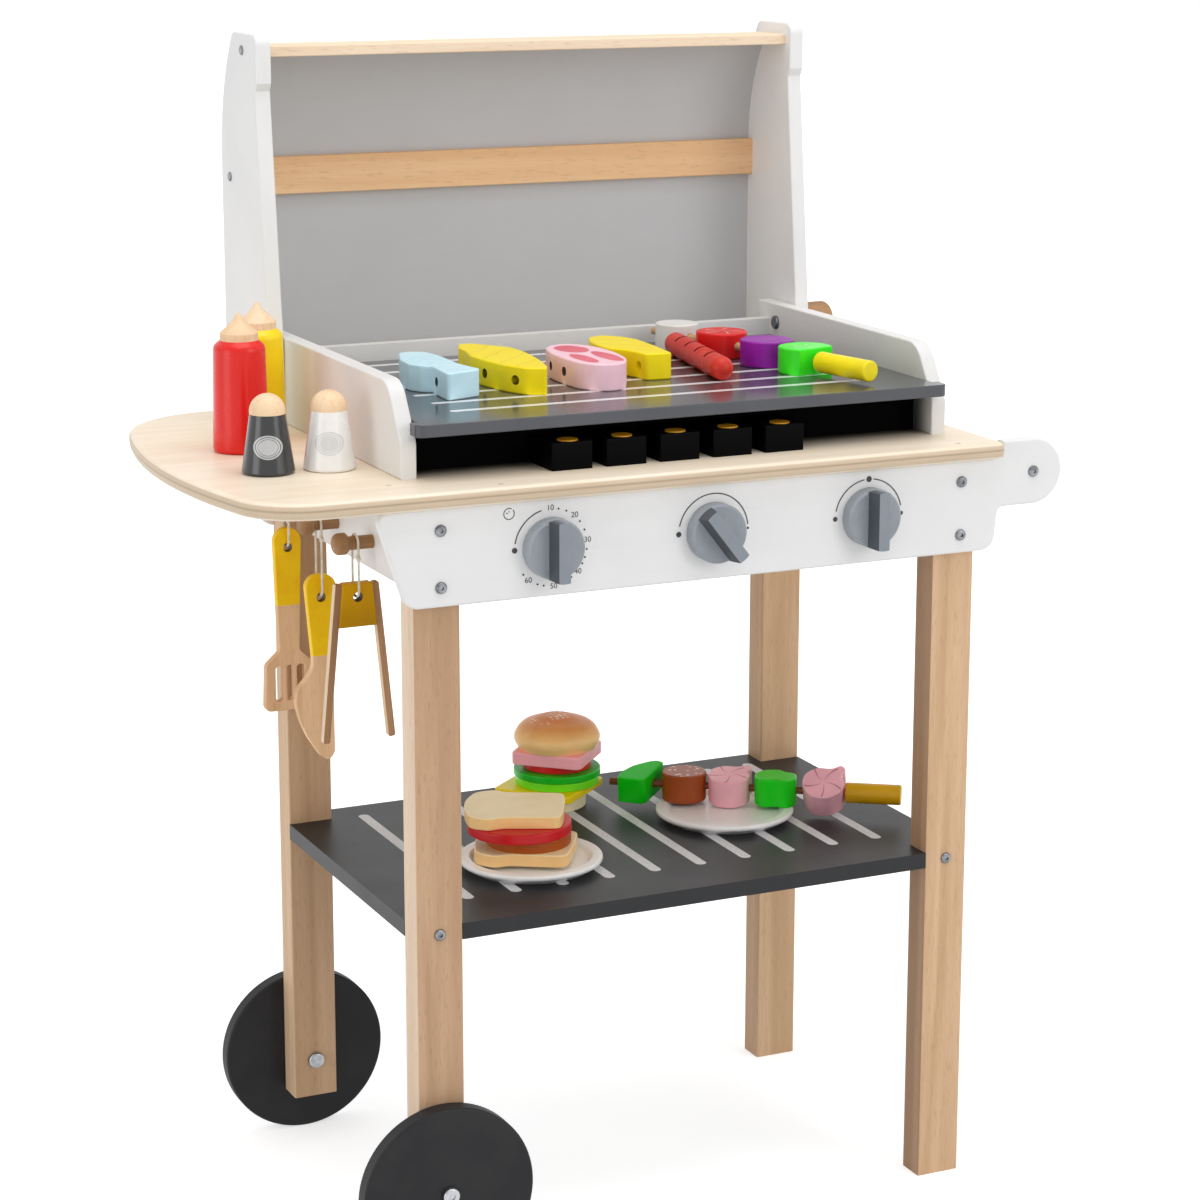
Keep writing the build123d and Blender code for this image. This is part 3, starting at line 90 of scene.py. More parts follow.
# %% The finish maker
class Network:
    """A node tree of a material or a world."""

    def __init__(self, tree):
        self.tree = tree

    def add(self, kind, **settings):
        node = self.tree.nodes.new(kind)
        for key, value in settings.items():
            setattr(node, key, value)
        return node

    def join(self, socket, value):
        if isinstance(value, bpy.types.NodeSocket):
            self.tree.links.new(value, socket)
        elif value is not None:
            socket.default_value = value

    def split(self, vector):
        node = self.add("ShaderNodeSeparateXYZ")
        self.join(node.inputs[0], vector)
        return node.outputs[0], node.outputs[1], node.outputs[2]

    def vector(self, x, y, z):
        node = self.add("ShaderNodeCombineXYZ")
        for socket, value in zip(node.inputs, (x, y, z)):
            self.join(socket, value)
        return node.outputs[0]

    def maths(self, operation, a, b=None, c=None):
        node = self.add("ShaderNodeMath", operation=operation)
        for socket, value in zip(node.inputs, (a, b, c)):
            self.join(socket, value)
        return node.outputs[0]

    def plus(self, a, b):
        return self.maths("ADD", a, b)

    def minus(self, a, b):
        return self.maths("SUBTRACT", a, b)

    def times(self, a, b):
        return self.maths("MULTIPLY", a, b)

    def absolute(self, a):
        return self.maths("ABSOLUTE", a)

    def radius(self, a, b):
        return self.maths("POWER", self.plus(self.times(a, a), self.times(b, b)), 0.5)

    def noise(self, vector, scale, detail=3.0, rough=0.5, warp=0.0):
        node = self.add("ShaderNodeTexNoise")
        for key, value in (("Vector", vector), ("Scale", scale), ("Detail", detail),
                           ("Roughness", rough), ("Distortion", warp)):
            self.join(node.inputs[key], value)
        return node.outputs[0]

    def cells(self, vector, scale, spread=1.0):
        node = self.add("ShaderNodeTexVoronoi")
        for key, value in (("Vector", vector), ("Scale", scale), ("Randomness", spread)):
            self.join(node.inputs[key], value)
        return node.outputs["Distance"]

    def step(self, value, low, high):
        """0 below low, 1 above high, with a soft rise between."""
        node = self.add("ShaderNodeMapRange", interpolation_type="SMOOTHSTEP")
        for key, given in (("Value", value), ("From Min", low), ("From Max", high)):
            self.join(node.inputs[key], given)
        return node.outputs[0]

    def above(self, value, limit, soft=0.0003):
        return self.step(value, limit - soft, limit + soft)

    def below(self, value, limit, soft=0.0003):
        return self.minus(1.0, self.above(value, limit, soft=soft))

    def between(self, value, low, high, soft=0.0003):
        return self.times(self.above(value, low, soft=soft), self.below(value, high, soft=soft))

    def both(self, *masks):
        total = masks[0]
        for mask in masks[1:]:
            total = self.times(total, mask)
        return total

    def either(self, *masks):
        total = masks[0]
        for mask in masks[1:]:
            total = self.maths("MAXIMUM", total, mask)
        return total

    def blend(self, share, a, b):
        node = self.add("ShaderNodeMix", data_type="RGBA")
        for socket, value in zip((node.inputs[0], node.inputs[6], node.inputs[7]), (share, a, b)):
            self.join(socket, value)
        return node.outputs[2]

    def offset(self, value, low, high):
        """A value of 0 to 1 turned into the range low to high."""
        node = self.add("ShaderNodeMapRange")
        for key, given in (("Value", value), ("To Min", low), ("To Max", high)):
            self.join(node.inputs[key], given)
        return node.outputs[0]

    def seen_directly(self):
        """1 for camera, glossy and transmission rays, 0 for the rays that light the scene."""
        ray = self.add("ShaderNodeLightPath").outputs
        return self.either(ray["Is Camera Ray"], ray["Is Glossy Ray"], ray["Is Transmission Ray"])


class Finish(Network):
    """One material, built from noise, masks and blends of the place on the object."""

    def __init__(self, name):
        self.material = bpy.data.materials.new(name)
        self.material.use_nodes = True
        super().__init__(self.material.node_tree)
        self.shader = self.tree.nodes["Principled BSDF"]
        places = self.add("ShaderNodeTexCoord").outputs
        self.place, self.normal = places["Object"], places["Normal"]
        self.x, self.y, self.z = self.split(self.place)

    def mapped(self, shift=(0, 0, 0), stretch=(1, 1, 1)):
        """The place, shifted and stretched, as a start for noise."""
        node = self.add("ShaderNodeMapping")
        self.join(node.inputs["Vector"], self.place)
        node.inputs["Location"].default_value = shift
        node.inputs["Scale"].default_value = stretch
        return node.outputs[0]

    def clouds_and_grit(self, scale, detail=3.0, rough=0.5, grit=900.0):
        """Broad noise for tone and sheen, and fine noise for relief."""
        return (self.noise(self.place, scale=scale, detail=detail, rough=rough),
                self.noise(self.place, scale=grit, detail=2.0, rough=0.5))

    def along(self, start, end):
        """Distance along the level line from start, and distance sideways from it, in metres."""
        run = hypot(end[0] - start[0], end[1] - start[1])
        ux, uy = (end[0] - start[0]) / run, (end[1] - start[1]) / run
        dx, dy = self.minus(self.x, start[0]), self.minus(self.y, start[1])
        ahead = self.maths("MULTIPLY_ADD", dx, ux, self.times(dy, uy))
        aside = self.maths("MULTIPLY_ADD", dx, -uy, self.times(dy, ux))
        return ahead, aside, run

    def facing(self, axis):
        """How far the surface looks along an axis, from -1 to 1."""
        return self.split(self.normal)["xyz".index(axis)]

    def top_face(self, limit=0.9, soft=0.05):
        """1 on faces that look up, 0 on the others."""
        return self.above(self.facing("z"), limit, soft=soft)

    def done(self, tone, rough, relief=None, depth=0.0001, coat=0.0, metal=0.0, shine=0.5):
        """Joins colour, roughness and relief to the shader and returns the material."""
        self.join(self.shader.inputs["Base Color"], tone)
        self.join(self.shader.inputs["Roughness"], rough)
        self.shader.inputs["Coat Weight"].default_value = coat
        self.shader.inputs["Coat Roughness"].default_value = COAT_ROUGHNESS
        self.shader.inputs["Metallic"].default_value = metal
        self.shader.inputs["Specular IOR Level"].default_value = shine
        if relief is not None:
            bump = self.add("ShaderNodeBump")
            bump.inputs["Strength"].default_value = 1.0
            bump.inputs["Distance"].default_value = depth
            self.join(bump.inputs["Height"], relief)
            self.join(self.shader.inputs["Normal"], bump.outputs[0])
        return self.material


COAT_ROUGHNESS = 0.12


def wear(finish, *names):
    """Puts a finish on CAD nodes."""
    for name in names:
        for slot in nodes[name].material_slots:
            slot.material = finish


print("finish maker ready")

# %% [markdown]
# Beech is pale pink-brown wood with fine straight grain and short darker flecks.
# Grain is noise stretched along the board; flecks are a second stretched noise, cut at a level.
# Each board takes its own shift, so that no two legs carry the same grain.

# %% Beech
def drawn_out(share):
    """Scales that draw noise out along the grain, for each axis that grain can follow."""
    return {"X": (share, 1, 1), "Y": (1, share, 1), "Z": (1, 1, share)}


STRETCH, FLECK = drawn_out(0.045), drawn_out(0.16)


def beech_tone(f, grain, seed, light, dark):
    """Colour and relief of beech: broad bands, fine fibres and dashes, all along the grain."""
    far = (seed * 0.37, seed * 0.61, seed * 0.23)
    bands = f.noise(f.mapped(far, stretch=STRETCH[grain]), scale=55.0, detail=4.0, rough=0.55,
                    warp=0.6)
    fibres = f.noise(f.mapped(far, stretch=STRETCH[grain]), scale=850.0, detail=2.0, rough=0.6)
    dashes = f.step(f.noise(f.mapped(far, stretch=FLECK[grain]), scale=620.0, detail=1.0,
                            rough=0.4), 0.60, 0.72)
    broad = f.blend(f.step(bands, 0.30, 0.72), light, dark)
    fine = f.blend(f.times(f.step(fibres, 0.35, 0.75), 0.28), broad, dark)
    deep = dimmed(dark, 0.72)
    return f.blend(f.times(dashes, 0.30), fine, deep), fibres


def beech(name, grain, seed, light=colour(221, 186, 150), dark=colour(196, 158, 121), rough=0.48,
          painted_light_side_pale=None, painted_light_side_deep=None):
    """Lacquered beech; the faces that look along X may take a paler or darker tone: painted light
    and painted shade for how light falls on those sides.
    """
    f = Finish(name)
    tone, fibres = beech_tone(f, grain, seed, light, dark)
    if painted_light_side_pale:
        painted_light_side_tone = beech_tone(f, grain, seed + 0.5, painted_light_side_pale, painted_light_side_deep)[0]
        tone = f.blend(f.above(f.absolute(f.facing("x")), 0.7, soft=0.1), tone, painted_light_side_tone)
    return f.done(tone, f.offset(fibres, rough, rough + 0.14), fibres, depth=0.00004, shine=0.3)


# Each leg's tones are painted light and shade: front faces and sides looking along X are paler
# where lit and darker in shade.
LEG_LIT_AND_SHADED_TONES = {
    "leg_front_left": ((206, 170, 136), (182, 145, 112), (242, 218, 194), (226, 198, 170)),
    "leg_front_right": ((226, 190, 153), (202, 163, 125), (190, 154, 122), (166, 130, 99)),
    "leg_back_left": ((214, 178, 142), (190, 152, 116), (228, 196, 162), (206, 170, 134)),
    "leg_back_right": ((230, 196, 158), (206, 168, 129), (213, 178, 143), (190, 152, 118)),
}
for seed, (name, tones) in enumerate(LEG_LIT_AND_SHADED_TONES.items()):
    light, dark, painted_light_side_pale, painted_light_side_deep = [colour(*tone) for tone in tones]
    wear(beech("beech " + name, "Z", seed=seed + 1, light=light, dark=dark, rough=0.48,
               painted_light_side_pale=painted_light_side_pale, painted_light_side_deep=painted_light_side_deep), name)
wear(beech("beech handle", "Y", seed=7), "handle_dowel")
wear(beech("beech apron right", "Y", seed=9), "right_apron", "plate_rests")
wear(beech("beech slat", "X", seed=11, light=colour(250, 211, 166), dark=colour(236, 187, 138)),
     "lid_slat")
wear(beech("beech top board", "X", seed=13, light=colour(250, 229, 203),
           dark=colour(238, 206, 172)), "lid_top_board")
wear(beech("beech turned", "X", seed=15, light=colour(184, 143, 102), dark=colour(150, 111, 74)),
     "utensil_pegs", "knob_spindles", "lid_pivot_knob")
wear(beech("pale turned wood", "Z", seed=17, light=colour(247, 219, 183),
           dark=colour(236, 200, 158), rough=0.30), "bottle_caps", "shaker_domes")
print("beech on the frame and turned pieces")

# %% [markdown]
# The worktop is birch plywood under clear lacquer: pale faces, and an edge that shows its layers.
# The faces carry broad, low-contrast grain along the length; the edge is striped by height.
# Small filled screw holes show as darker specks near the front edge.
# The wood in the gap under the grill plate is painted dark, as hardly any light comes there.

# %% Plywood worktop
PLY_FOOT, PLY_PITCH = 0.5625, 0.0062
SCREW_SPECKS = [spot(*p, 0)[:2] for p in ((-8, 22), (64, -5), (430, -4))]
SPECK_RADIUS = 0.0022


def under_plate(f):
    """Grows from 0 to 1 from the gap's front to the burner board, where little light comes."""
    inner_left, inner_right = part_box("grill_side_left")[1].x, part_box("grill_side_right")[0].x
    board_low, board_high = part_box("burner_board")
    return f.both(f.step(f.y, y_of(34), y_of(60)),
                  f.below(f.y, (board_low.y + board_high.y) / 2),
                  f.between(f.x, inner_left - 0.0005, inner_right + 0.0005),
                  f.below(f.z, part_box("grill_plate")[0].z))


def plywood():
    f = Finish("birch plywood")
    far = f.mapped((0.3, 0.1, 0.0), stretch=(0.10, 1, 1))
    bands = f.noise(far, scale=22.0, detail=5.0, rough=0.55, warp=1.2)
    fibres = f.noise(f.mapped(stretch=(0.03, 1, 1)), scale=900.0, detail=2.0, rough=0.6)
    face = f.blend(f.step(bands, 0.30, 0.72), colour(249, 236, 216), colour(241, 223, 198))
    face = f.blend(f.times(f.step(fibres, 0.4, 0.8), 0.25), face, colour(226, 200, 166))
    for x, y in SCREW_SPECKS:
        speck = f.radius(f.minus(f.x, x), f.minus(f.y, y))
        face = f.blend(f.times(f.below(speck, SPECK_RADIUS, soft=0.0006), 0.55), face,
                       colour(176, 150, 120))
    face = f.blend(f.times(under_plate(f), 0.94), face, colour(16, 12, 9))
    layer = f.maths("FRACT", f.times(f.minus(f.z, PLY_FOOT), 1 / PLY_PITCH))
    dark_ply = f.between(layer, 0.40, 0.58, soft=0.12)
    edge = f.blend(dark_ply, colour(216, 196, 170), colour(176, 154, 128))
    edge = f.blend(f.times(f.step(fibres, 0.3, 0.8), 0.5), edge, colour(202, 177, 148))
    side = f.below(f.absolute(f.facing("z")), 0.6, soft=0.1)
    tone = f.blend(side, face, edge)
    return f.done(tone, f.offset(fibres, 0.36, 0.5), fibres, depth=0.00003, shine=0.3)


wear(plywood(), "worktop")
print("plywood on the worktop")

# %% [markdown]
# Painted boards have a thin coat that follows the wood: a faint grain shadow and soft unevenness.
# The paint is satin, so the roughness wanders a little and a fine relief breaks up reflections.

# %% Paint
def painted(name, tone, rough, seed, shade, coat=0.0, grain="X", shine=0.4, gap=False):
    """Satin or gloss paint: clouds of slightly darker paint, a trace of grain and fine relief;
    with gap, painted shade in the gap under the grill plate.
    """
    f = Finish(name)
    clouds = f.noise(f.mapped((seed, seed * 0.5, 0)), scale=16.0, detail=4.0, rough=0.6)
    grit = f.noise(f.place, scale=900.0, detail=2.0, rough=0.5)
    trace = f.noise(f.mapped((seed, 0, 0), stretch=STRETCH[grain]), scale=260.0, detail=3.0,
                    rough=0.5)
    darker = dimmed(tone, 1 - 2 * shade)
    mixed = f.blend(f.step(clouds, 0.3, 0.75), tone, dimmed(tone, 1 - shade))
    mixed = f.blend(f.times(f.step(trace, 0.5, 0.8), 0.35), mixed, darker)
    # Painted shade: faces in the gap under the grill plate turn near-black towards the burner
    # board.
    if gap:
        mixed = f.blend(f.times(under_plate(f), 0.9), mixed, colour(26, 23, 20))
    relief = f.maths("MULTIPLY_ADD", trace, 0.5, f.times(grit, 0.5))
    return f.done(mixed, f.offset(clouds, rough - 0.05, rough + 0.08), relief, depth=0.00003,
                  coat=coat, shine=shine)


WHITE = colour(238, 238, 238)
wear(painted("white paint panels", WHITE, rough=0.42, seed=1, shade=0.03), "front_panel",
     "back_panel", "left_apron")
wear(painted("white paint hood sides", WHITE, rough=0.42, seed=3, shade=0.03, grain="Z"),
     "lid_side_left", "lid_side_right")
wear(painted("white paint grill box", colour(233, 232, 230), rough=0.45, seed=5, shade=0.04,
             grain="Y", gap=True), "grill_side_left", "grill_side_right", "grill_rear_rail")
wear(painted("grey paint hood sheet", colour(199, 200, 202), rough=0.5, seed=7, shade=0.03),
     "lid_sheet")
wear(painted("black gloss blocks", colour(4, 4, 5), rough=0.4, seed=9, shade=0.1, shine=0.04),
     "burner_blocks")
# The burner board is a near-black board in the gap; its black also stands for the deep shade
# there, a painted shade.
wear(painted("matt black board and painted shade", colour(6, 6, 6), rough=0.8, seed=10, shade=0.2, shine=0.05),
     "burner_board")
wear(painted("amber discs", colour(214, 150, 20), rough=0.3, seed=11, shade=0.12, coat=0.2),
     "burner_discs")
wear(painted("red bottle", colour(232, 32, 26), rough=0.26, seed=13, shade=0.06, coat=0.12,
             grain="Z", shine=0.3), "red_bottle")
wear(painted("yellow bottle", colour(255, 222, 2), rough=0.26, seed=15, shade=0.05, coat=0.12,
             grain="Z", shine=0.3), "yellow_bottle")
wear(painted("white dishes", colour(252, 251, 250), rough=0.3, seed=17, shade=0.02, coat=0.3),
     "plates")
print("paint on panels, hood, grill box and bottles")

# %% [markdown]
# The wheels are discs of board painted near-black, with a faint turned sheen round the middle.
# Rings of slightly different roughness about the axle give that sheen, and the same rings are
# painted a little lighter, a painted sheen.

# %% Wheels and bolts
def wheel_paint(name, body_name):
    f = Finish(name)
    low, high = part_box(body_name)
    middle = (low + high) / 2
    away = f.radius(f.minus(f.x, middle.x), f.minus(f.z, middle.z))
    rings = f.noise(f.vector(away, 0.0, 0.0), scale=700.0, detail=3.0, rough=0.6)
    clouds = f.noise(f.place, scale=30.0, detail=3.0, rough=0.5)
    tone = f.blend(f.step(clouds, 0.3, 0.7), colour(38, 38, 40), colour(30, 30, 33))
    tone = f.blend(f.times(f.step(rings, 0.5, 0.8), 0.4), tone, colour(48, 48, 51))
    return f.done(tone, f.offset(rings, 0.42, 0.58), rings, depth=0.00003, shine=0.25)


def steel(name, bright, dull):
    f = Finish(name)
    fine = f.noise(f.place, scale=1500.0, detail=2.0, rough=0.5)
    worn = f.noise(f.place, scale=160.0, detail=3.0, rough=0.5)
    tone = f.blend(f.step(worn, 0.35, 0.7), bright, dull)
    return f.done(tone, f.offset(fine, 0.24, 0.42), fine, depth=0.00002, metal=1.0)


for name in ("wheel_front", "wheel_back"):
    wear(wheel_paint("black paint " + name, name), name)
wear(steel("nickel-plated steel", colour(186, 188, 192), colour(148, 150, 154)), "wheel_bolts")
wear(steel("dark plated steel", colour(138, 140, 144), colour(100, 102, 106)), "panel_bolts",
     "shelf_bolts", "handle_bolts", "lid_screws", "lid_pivot_screws")
print("paint on the wheels, plating on the bolts")

# %% [markdown]
# The grill plate and the shelf are painted dark grey, with light bars printed on their tops.
# A bar is all places near a line, with round ends, so one distance formula prints them all.

# %% Printed plate and shelf
def bars(f, across, along, pitch, first, count, half_width, low, high):
    """Mask of parallel round-ended bars: distance to the nearest bar's middle line."""
    index = f.maths("ROUND", f.times(f.minus(across, first), 1 / pitch))
    index = f.maths("MINIMUM", f.maths("MAXIMUM", index, 0.0), count - 1.0)
    side = f.minus(across, f.maths("MULTIPLY_ADD", index, pitch, first))
    centre, reach = (low + high) / 2, (high - low) / 2 - half_width
    past = f.minus(f.absolute(f.minus(along, centre)), reach)
    return f.below(f.radius(side, f.maths("MAXIMUM", past, 0.0)), half_width, soft=0.0004)


def printed(name, base, bar, mask_of, rough, coat):
    f = Finish(name)
    clouds, grit = f.clouds_and_grit(22.0, detail=4.0, rough=0.6, grit=1100.0)
    tone = f.blend(f.step(clouds, 0.3, 0.75), base, dimmed(base, 0.86))
    worn = f.step(grit, 0.24, 0.42)
    mask = f.both(mask_of(f), f.top_face(), worn)
    return f.done(f.blend(mask, tone, bar), f.offset(clouds, rough, rough + 0.1), grit,
                  depth=0.00002, coat=coat, shine=0.28)


plate_low, plate_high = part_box("grill_plate")
wear(printed("grey plate with lines", colour(73, 75, 81), colour(242, 243, 246),
             lambda f: bars(f, f.y, f.x, pitch=0.035, first=y_of(65), count=7, half_width=0.0034,
                            low=x_of(55), high=x_of(385)), rough=0.14, coat=0.35), "grill_plate")
wear(printed("dark shelf with bars", colour(37, 38, 40), colour(222, 223, 226),
             lambda f: bars(f, f.x, f.y, pitch=0.0376, first=x_of(60), count=10, half_width=0.0043,
                            low=y_of(47), high=y_of(270)), rough=0.34, coat=0.0), "shelf")
print("bars printed on", [round(v, 3) for v in plate_high - plate_low], "plate and on the shelf")

# %% [markdown]
# A knob is a disc with a bevelled grip across it, painted mid grey.
# The grip is a shade darker than the disc, as paint over end grain is, and its left flank darker
# still, as it stands in shade.

# %% Knobs
GRIP_REACH = 0.0112


def knob_paint(name):
    f = Finish("grey paint " + name)
    low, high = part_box(name)
    clouds, grit = f.clouds_and_grit(60.0)
    grip = f.below(f.y, high.y - GRIP_REACH, soft=0.0004)
    tone = f.blend(grip, colour(156, 162, 169), colour(140, 147, 155))
    tone = f.blend(f.times(f.step(clouds, 0.35, 0.7), 0.25), tone, colour(124, 131, 139))
    flank = f.both(grip, f.below(f.absolute(f.facing("y")), 0.75, soft=0.1),
                   f.below(f.facing("x"), 0.0, soft=0.2))
    tone = f.blend(f.times(flank, 0.85), tone, colour(50, 54, 60))
    return f.done(tone, f.offset(clouds, 0.38, 0.5), grit, depth=0.00002, shine=0.3)


for name in ("knob_left", "knob_middle", "knob_right"):
    wear(knob_paint(name), name)
print("paint on three knobs")

# %% [markdown]
# Spatula and knife are thin beech with handles dipped in yellow paint; the tongs' block is yellow.
# The paint ends at a height on the handle, so the mask is the height.

# %% Utensils
HOLE_HEIGHTS = {"spatula": 486.0, "knife": 463.0, "tongs": 479.0}
HOLE_REACH = 0.0042


def shaded_hole(f, name, tone):
    """Paints shade on the wall of the string's hole, which runs along Y through the utensil, where
    little light comes.
    """
    low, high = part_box(name + "_loop")
    across = f.minus(f.x, (low.x + high.x) / 2)
    hole = f.radius(across, f.minus(f.z, HOLE_HEIGHTS[name] * MM))
    wall = f.both(f.below(hole, HOLE_REACH, soft=0.0002),
                  f.below(f.absolute(f.facing("y")), 0.8, soft=0.1))
    return f.blend(f.times(wall, 0.94), tone, colour(40, 27, 18))


def dipped(name, seed, edge):
    f = Finish("dipped " + name)
    wood, fibres = beech_tone(f, "Z", seed, colour(244, 204, 162), colour(220, 176, 133))
    clouds = f.noise(f.place, scale=60.0, detail=3.0, rough=0.5)
    paint = f.blend(f.step(clouds, 0.3, 0.7), colour(255, 209, 0), colour(250, 196, 0))
    mask = f.above(f.z, edge * MM)
    rough = f.offset(f.times(fibres, mask), 0.5, 0.36)
    return f.done(shaded_hole(f, name, f.blend(mask, wood, paint)), rough, fibres, depth=0.00004,
                  shine=0.2)


def tongs_paint():
    """Mustard paint, darker towards the foot of the block, over a trace of grain."""
    f = Finish("yellow tongs block")
    clouds = f.noise(f.place, scale=60.0, detail=3.0, rough=0.5)
    fibres = f.noise(f.mapped(stretch=STRETCH["Z"]), scale=600.0, detail=2.0, rough=0.5)
    low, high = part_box("tongs_block")
    shade = f.step(f.maths("MULTIPLY_ADD", clouds, 0.01, f.z), low.z, high.z + 0.004)
    tone = f.blend(shade, colour(182, 134, 0), colour(216, 160, 0))
    return f.done(shaded_hole(f, "tongs", tone), f.offset(clouds, 0.38, 0.48), fibres, depth=0.00003,
                  shine=0.15)


wear(dipped("spatula", seed=21, edge=441), "spatula")
wear(dipped("knife", seed=23, edge=418.5), "knife")
wear(tongs_paint(), "tongs_block")
# The arms' sides that look along X are painted paler and their fronts darker: painted light and
# painted shade.
wear(beech("beech tongs arms", "Z", seed=25, light=colour(190, 148, 110),
           dark=colour(152, 111, 77), rough=0.48, painted_light_side_pale=colour(244, 220, 188),
           painted_light_side_deep=colour(228, 196, 158)), "tongs_arms")
print("paint and wood on the utensils")

# %% [markdown]
# The shakers are painted cones with an oval badge on the side that faces the front left.
# A badge is drawn by the way sideways and by height: a pale oval with two thin rings in it.
# The badges face the camera's place, so that place is set here.

# %% Shakers
CAMERA = spot(-756.29, -1952.82, 1001.02)
BADGE_RISE, BADGE_HALF_WIDTH, BADGE_HALF_HEIGHT = 0.0205, 0.0102, 0.0083


def shaker_paint(name, base, badge, ring, rough):
    f = Finish(name)
    low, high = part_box(name)
    middle = (low + high) / 2
    toward = atan2(CAMERA[1] - middle.y, CAMERA[0] - middle.x)
    dx, dy = f.minus(f.x, middle.x), f.minus(f.y, middle.y)
    aside = f.maths("MULTIPLY_ADD", dx, -sin(toward), f.times(dy, cos(toward)))
    ahead = f.maths("MULTIPLY_ADD", dx, cos(toward), f.times(dy, sin(toward)))
    rise = f.minus(f.z, low.z + BADGE_RISE)
    oval = f.radius(f.times(aside, 1 / BADGE_HALF_WIDTH), f.times(rise, 1 / BADGE_HALF_HEIGHT))
    near = f.above(ahead, 0.0)
    clouds, grit = f.clouds_and_grit(70.0)
    tone = f.blend(f.times(f.step(clouds, 0.3, 0.7), 0.5), base, dimmed(base, 0.9))
    tone = f.blend(f.both(f.below(oval, 1.0, soft=0.03), near), tone, badge)
    for inner, outer in ((0.82, 0.88), (0.66, 0.70)):
        tone = f.blend(f.both(f.between(oval, inner, outer, soft=0.02), near), tone, ring)
    return f.done(tone, f.offset(clouds, rough, rough + 0.08), grit, depth=0.00002, coat=0.4)


wear(shaker_paint("pepper_shaker", colour(40, 41, 43), colour(188, 190, 192), colour(70, 71, 74),
                  rough=0.2), "pepper_shaker")
wear(shaker_paint("salt_shaker", colour(243, 242, 241), colour(214, 215, 216),
                  colour(236, 236, 236), rough=0.24), "salt_shaker")
print("badges on the shakers")

# %% [markdown]
# The flat foods are board cut to a fish or a steak, painted all round, with thin engraved lines.
# An engraved line is a dark, narrow band of a warped distance, so it wavers as a hand cut does.
# The bores and the sausage's cuts are painted dark inside, as hardly any light comes there.

# %% Fish, steak and sausage
FOOD_MIDDLE = 0.627
BORE_REACH, BORE_LENGTH = 0.0036, 0.025
FISH_FRONT_MARGIN, FISH_BACK_MARGIN = 0.012, 0.02
STEAK_LEAN = radians(90)
STEAK_WINDOWS = ((0.026, 0.001, 0.018, 0.0125), (-0.016, -0.0095, 0.025, 0.0075),
                 (-0.018, 0.0105, 0.023, 0.0068))
SAUSAGE_LEAN = radians(10)
SAUSAGE_CUTS = (-39, -13, 13, 39)
SAUSAGE_CUT_HALF_WIDTH, SAUSAGE_CUT_DEPTH = 0.00155, 0.0037


def food_paint(f, tone, deeper):
    clouds, grit = f.clouds_and_grit(45.0)
    return f.blend(f.times(f.step(clouds, 0.3, 0.75), 0.5), tone, deeper), clouds, grit


def bored(f, tone, bores):
    """Darkens the bores, which run along X at the foods' middle height, from (y, end x) in mm."""
    for y, end in bores:
        place = spot(end, y, 0)
        bore = f.radius(f.minus(f.y, place[1]), f.minus(f.z, FOOD_MIDDLE))
        inside = f.both(f.below(bore, BORE_REACH, soft=0.0001),
                        f.between(f.x, place[0] - BORE_LENGTH, place[0], soft=0.0005))
        tone = f.blend(f.times(inside, 0.9), tone, colour(34, 26, 22))
    return tone


def fish_paint(name, node, tone, deeper, line, count, bores):
    f = Finish(name)
    low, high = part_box(node)
    base, clouds, grit = food_paint(f, tone, deeper)
    waver = f.noise(f.place, scale=30.0, detail=1.0, rough=0.5)
    from_middle = f.absolute(f.minus(f.x, (low.x + high.x) / 2))
    bend = f.maths("MULTIPLY_ADD", waver, 0.02, from_middle)
    row = f.maths("FRACT", f.times(f.plus(f.y, bend), count / (high.y - low.y)))
    cut = f.both(f.between(row, 0.46, 0.54, soft=0.03), f.top_face(),
                 f.between(f.y, low.y + FISH_FRONT_MARGIN, high.y - FISH_BACK_MARGIN))
    toned = bored(f, f.blend(f.times(cut, 0.4), base, line), bores)
    return f.done(toned, f.offset(clouds, 0.34, 0.46), f.minus(grit, cut), depth=0.0001, coat=0.1,
                  shine=0.25)


wear(fish_paint("blue fish paint", "blue_fish", colour(210, 243, 253), colour(194, 232, 246),
                colour(146, 202, 224), count=7, bores=[(129.9, 79)]), "blue_fish")
wear(fish_paint("yellow fish paint", "yellow_fish", colour(255, 233, 2), colour(252, 222, 0),
                colour(220, 176, 0), count=5, bores=[(150.7, 137), (113.7, 137)]), "yellow_fish")


def steak_paint():
    f = Finish("steak paint")
    low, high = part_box("steak")
    centre = (low + high) / 2
    ahead, aside, _ = f.along((centre.x, centre.y),
                              (centre.x + cos(STEAK_LEAN), centre.y + sin(STEAK_LEAN)))
    base, clouds, grit = food_paint(f, colour(255, 214, 226), colour(252, 200, 214))
    waver = f.times(f.noise(f.place, scale=60.0, detail=2.0, rough=0.5), 0.3)
    windows = []
    for ahead_at, aside_at, long, wide in STEAK_WINDOWS:
        u = f.times(f.minus(ahead, ahead_at), 1 / long)
        v = f.times(f.minus(aside, aside_at), 1 / wide)
        windows.append(f.below(f.plus(f.radius(u, v), waver), 1.12, soft=0.05))
    window = f.both(f.either(*windows), f.top_face())
    meat = f.blend(f.step(clouds, 0.3, 0.7), colour(224, 92, 112), colour(234, 116, 132))
    toned = bored(f, f.blend(window, base, meat), [(162.9, 197), (135.3, 197)])
    return f.done(toned, f.offset(clouds, 0.32, 0.44), f.minus(grit, window), depth=0.0002,
                  coat=0.1, shine=0.25)


wear(steak_paint(), "steak")


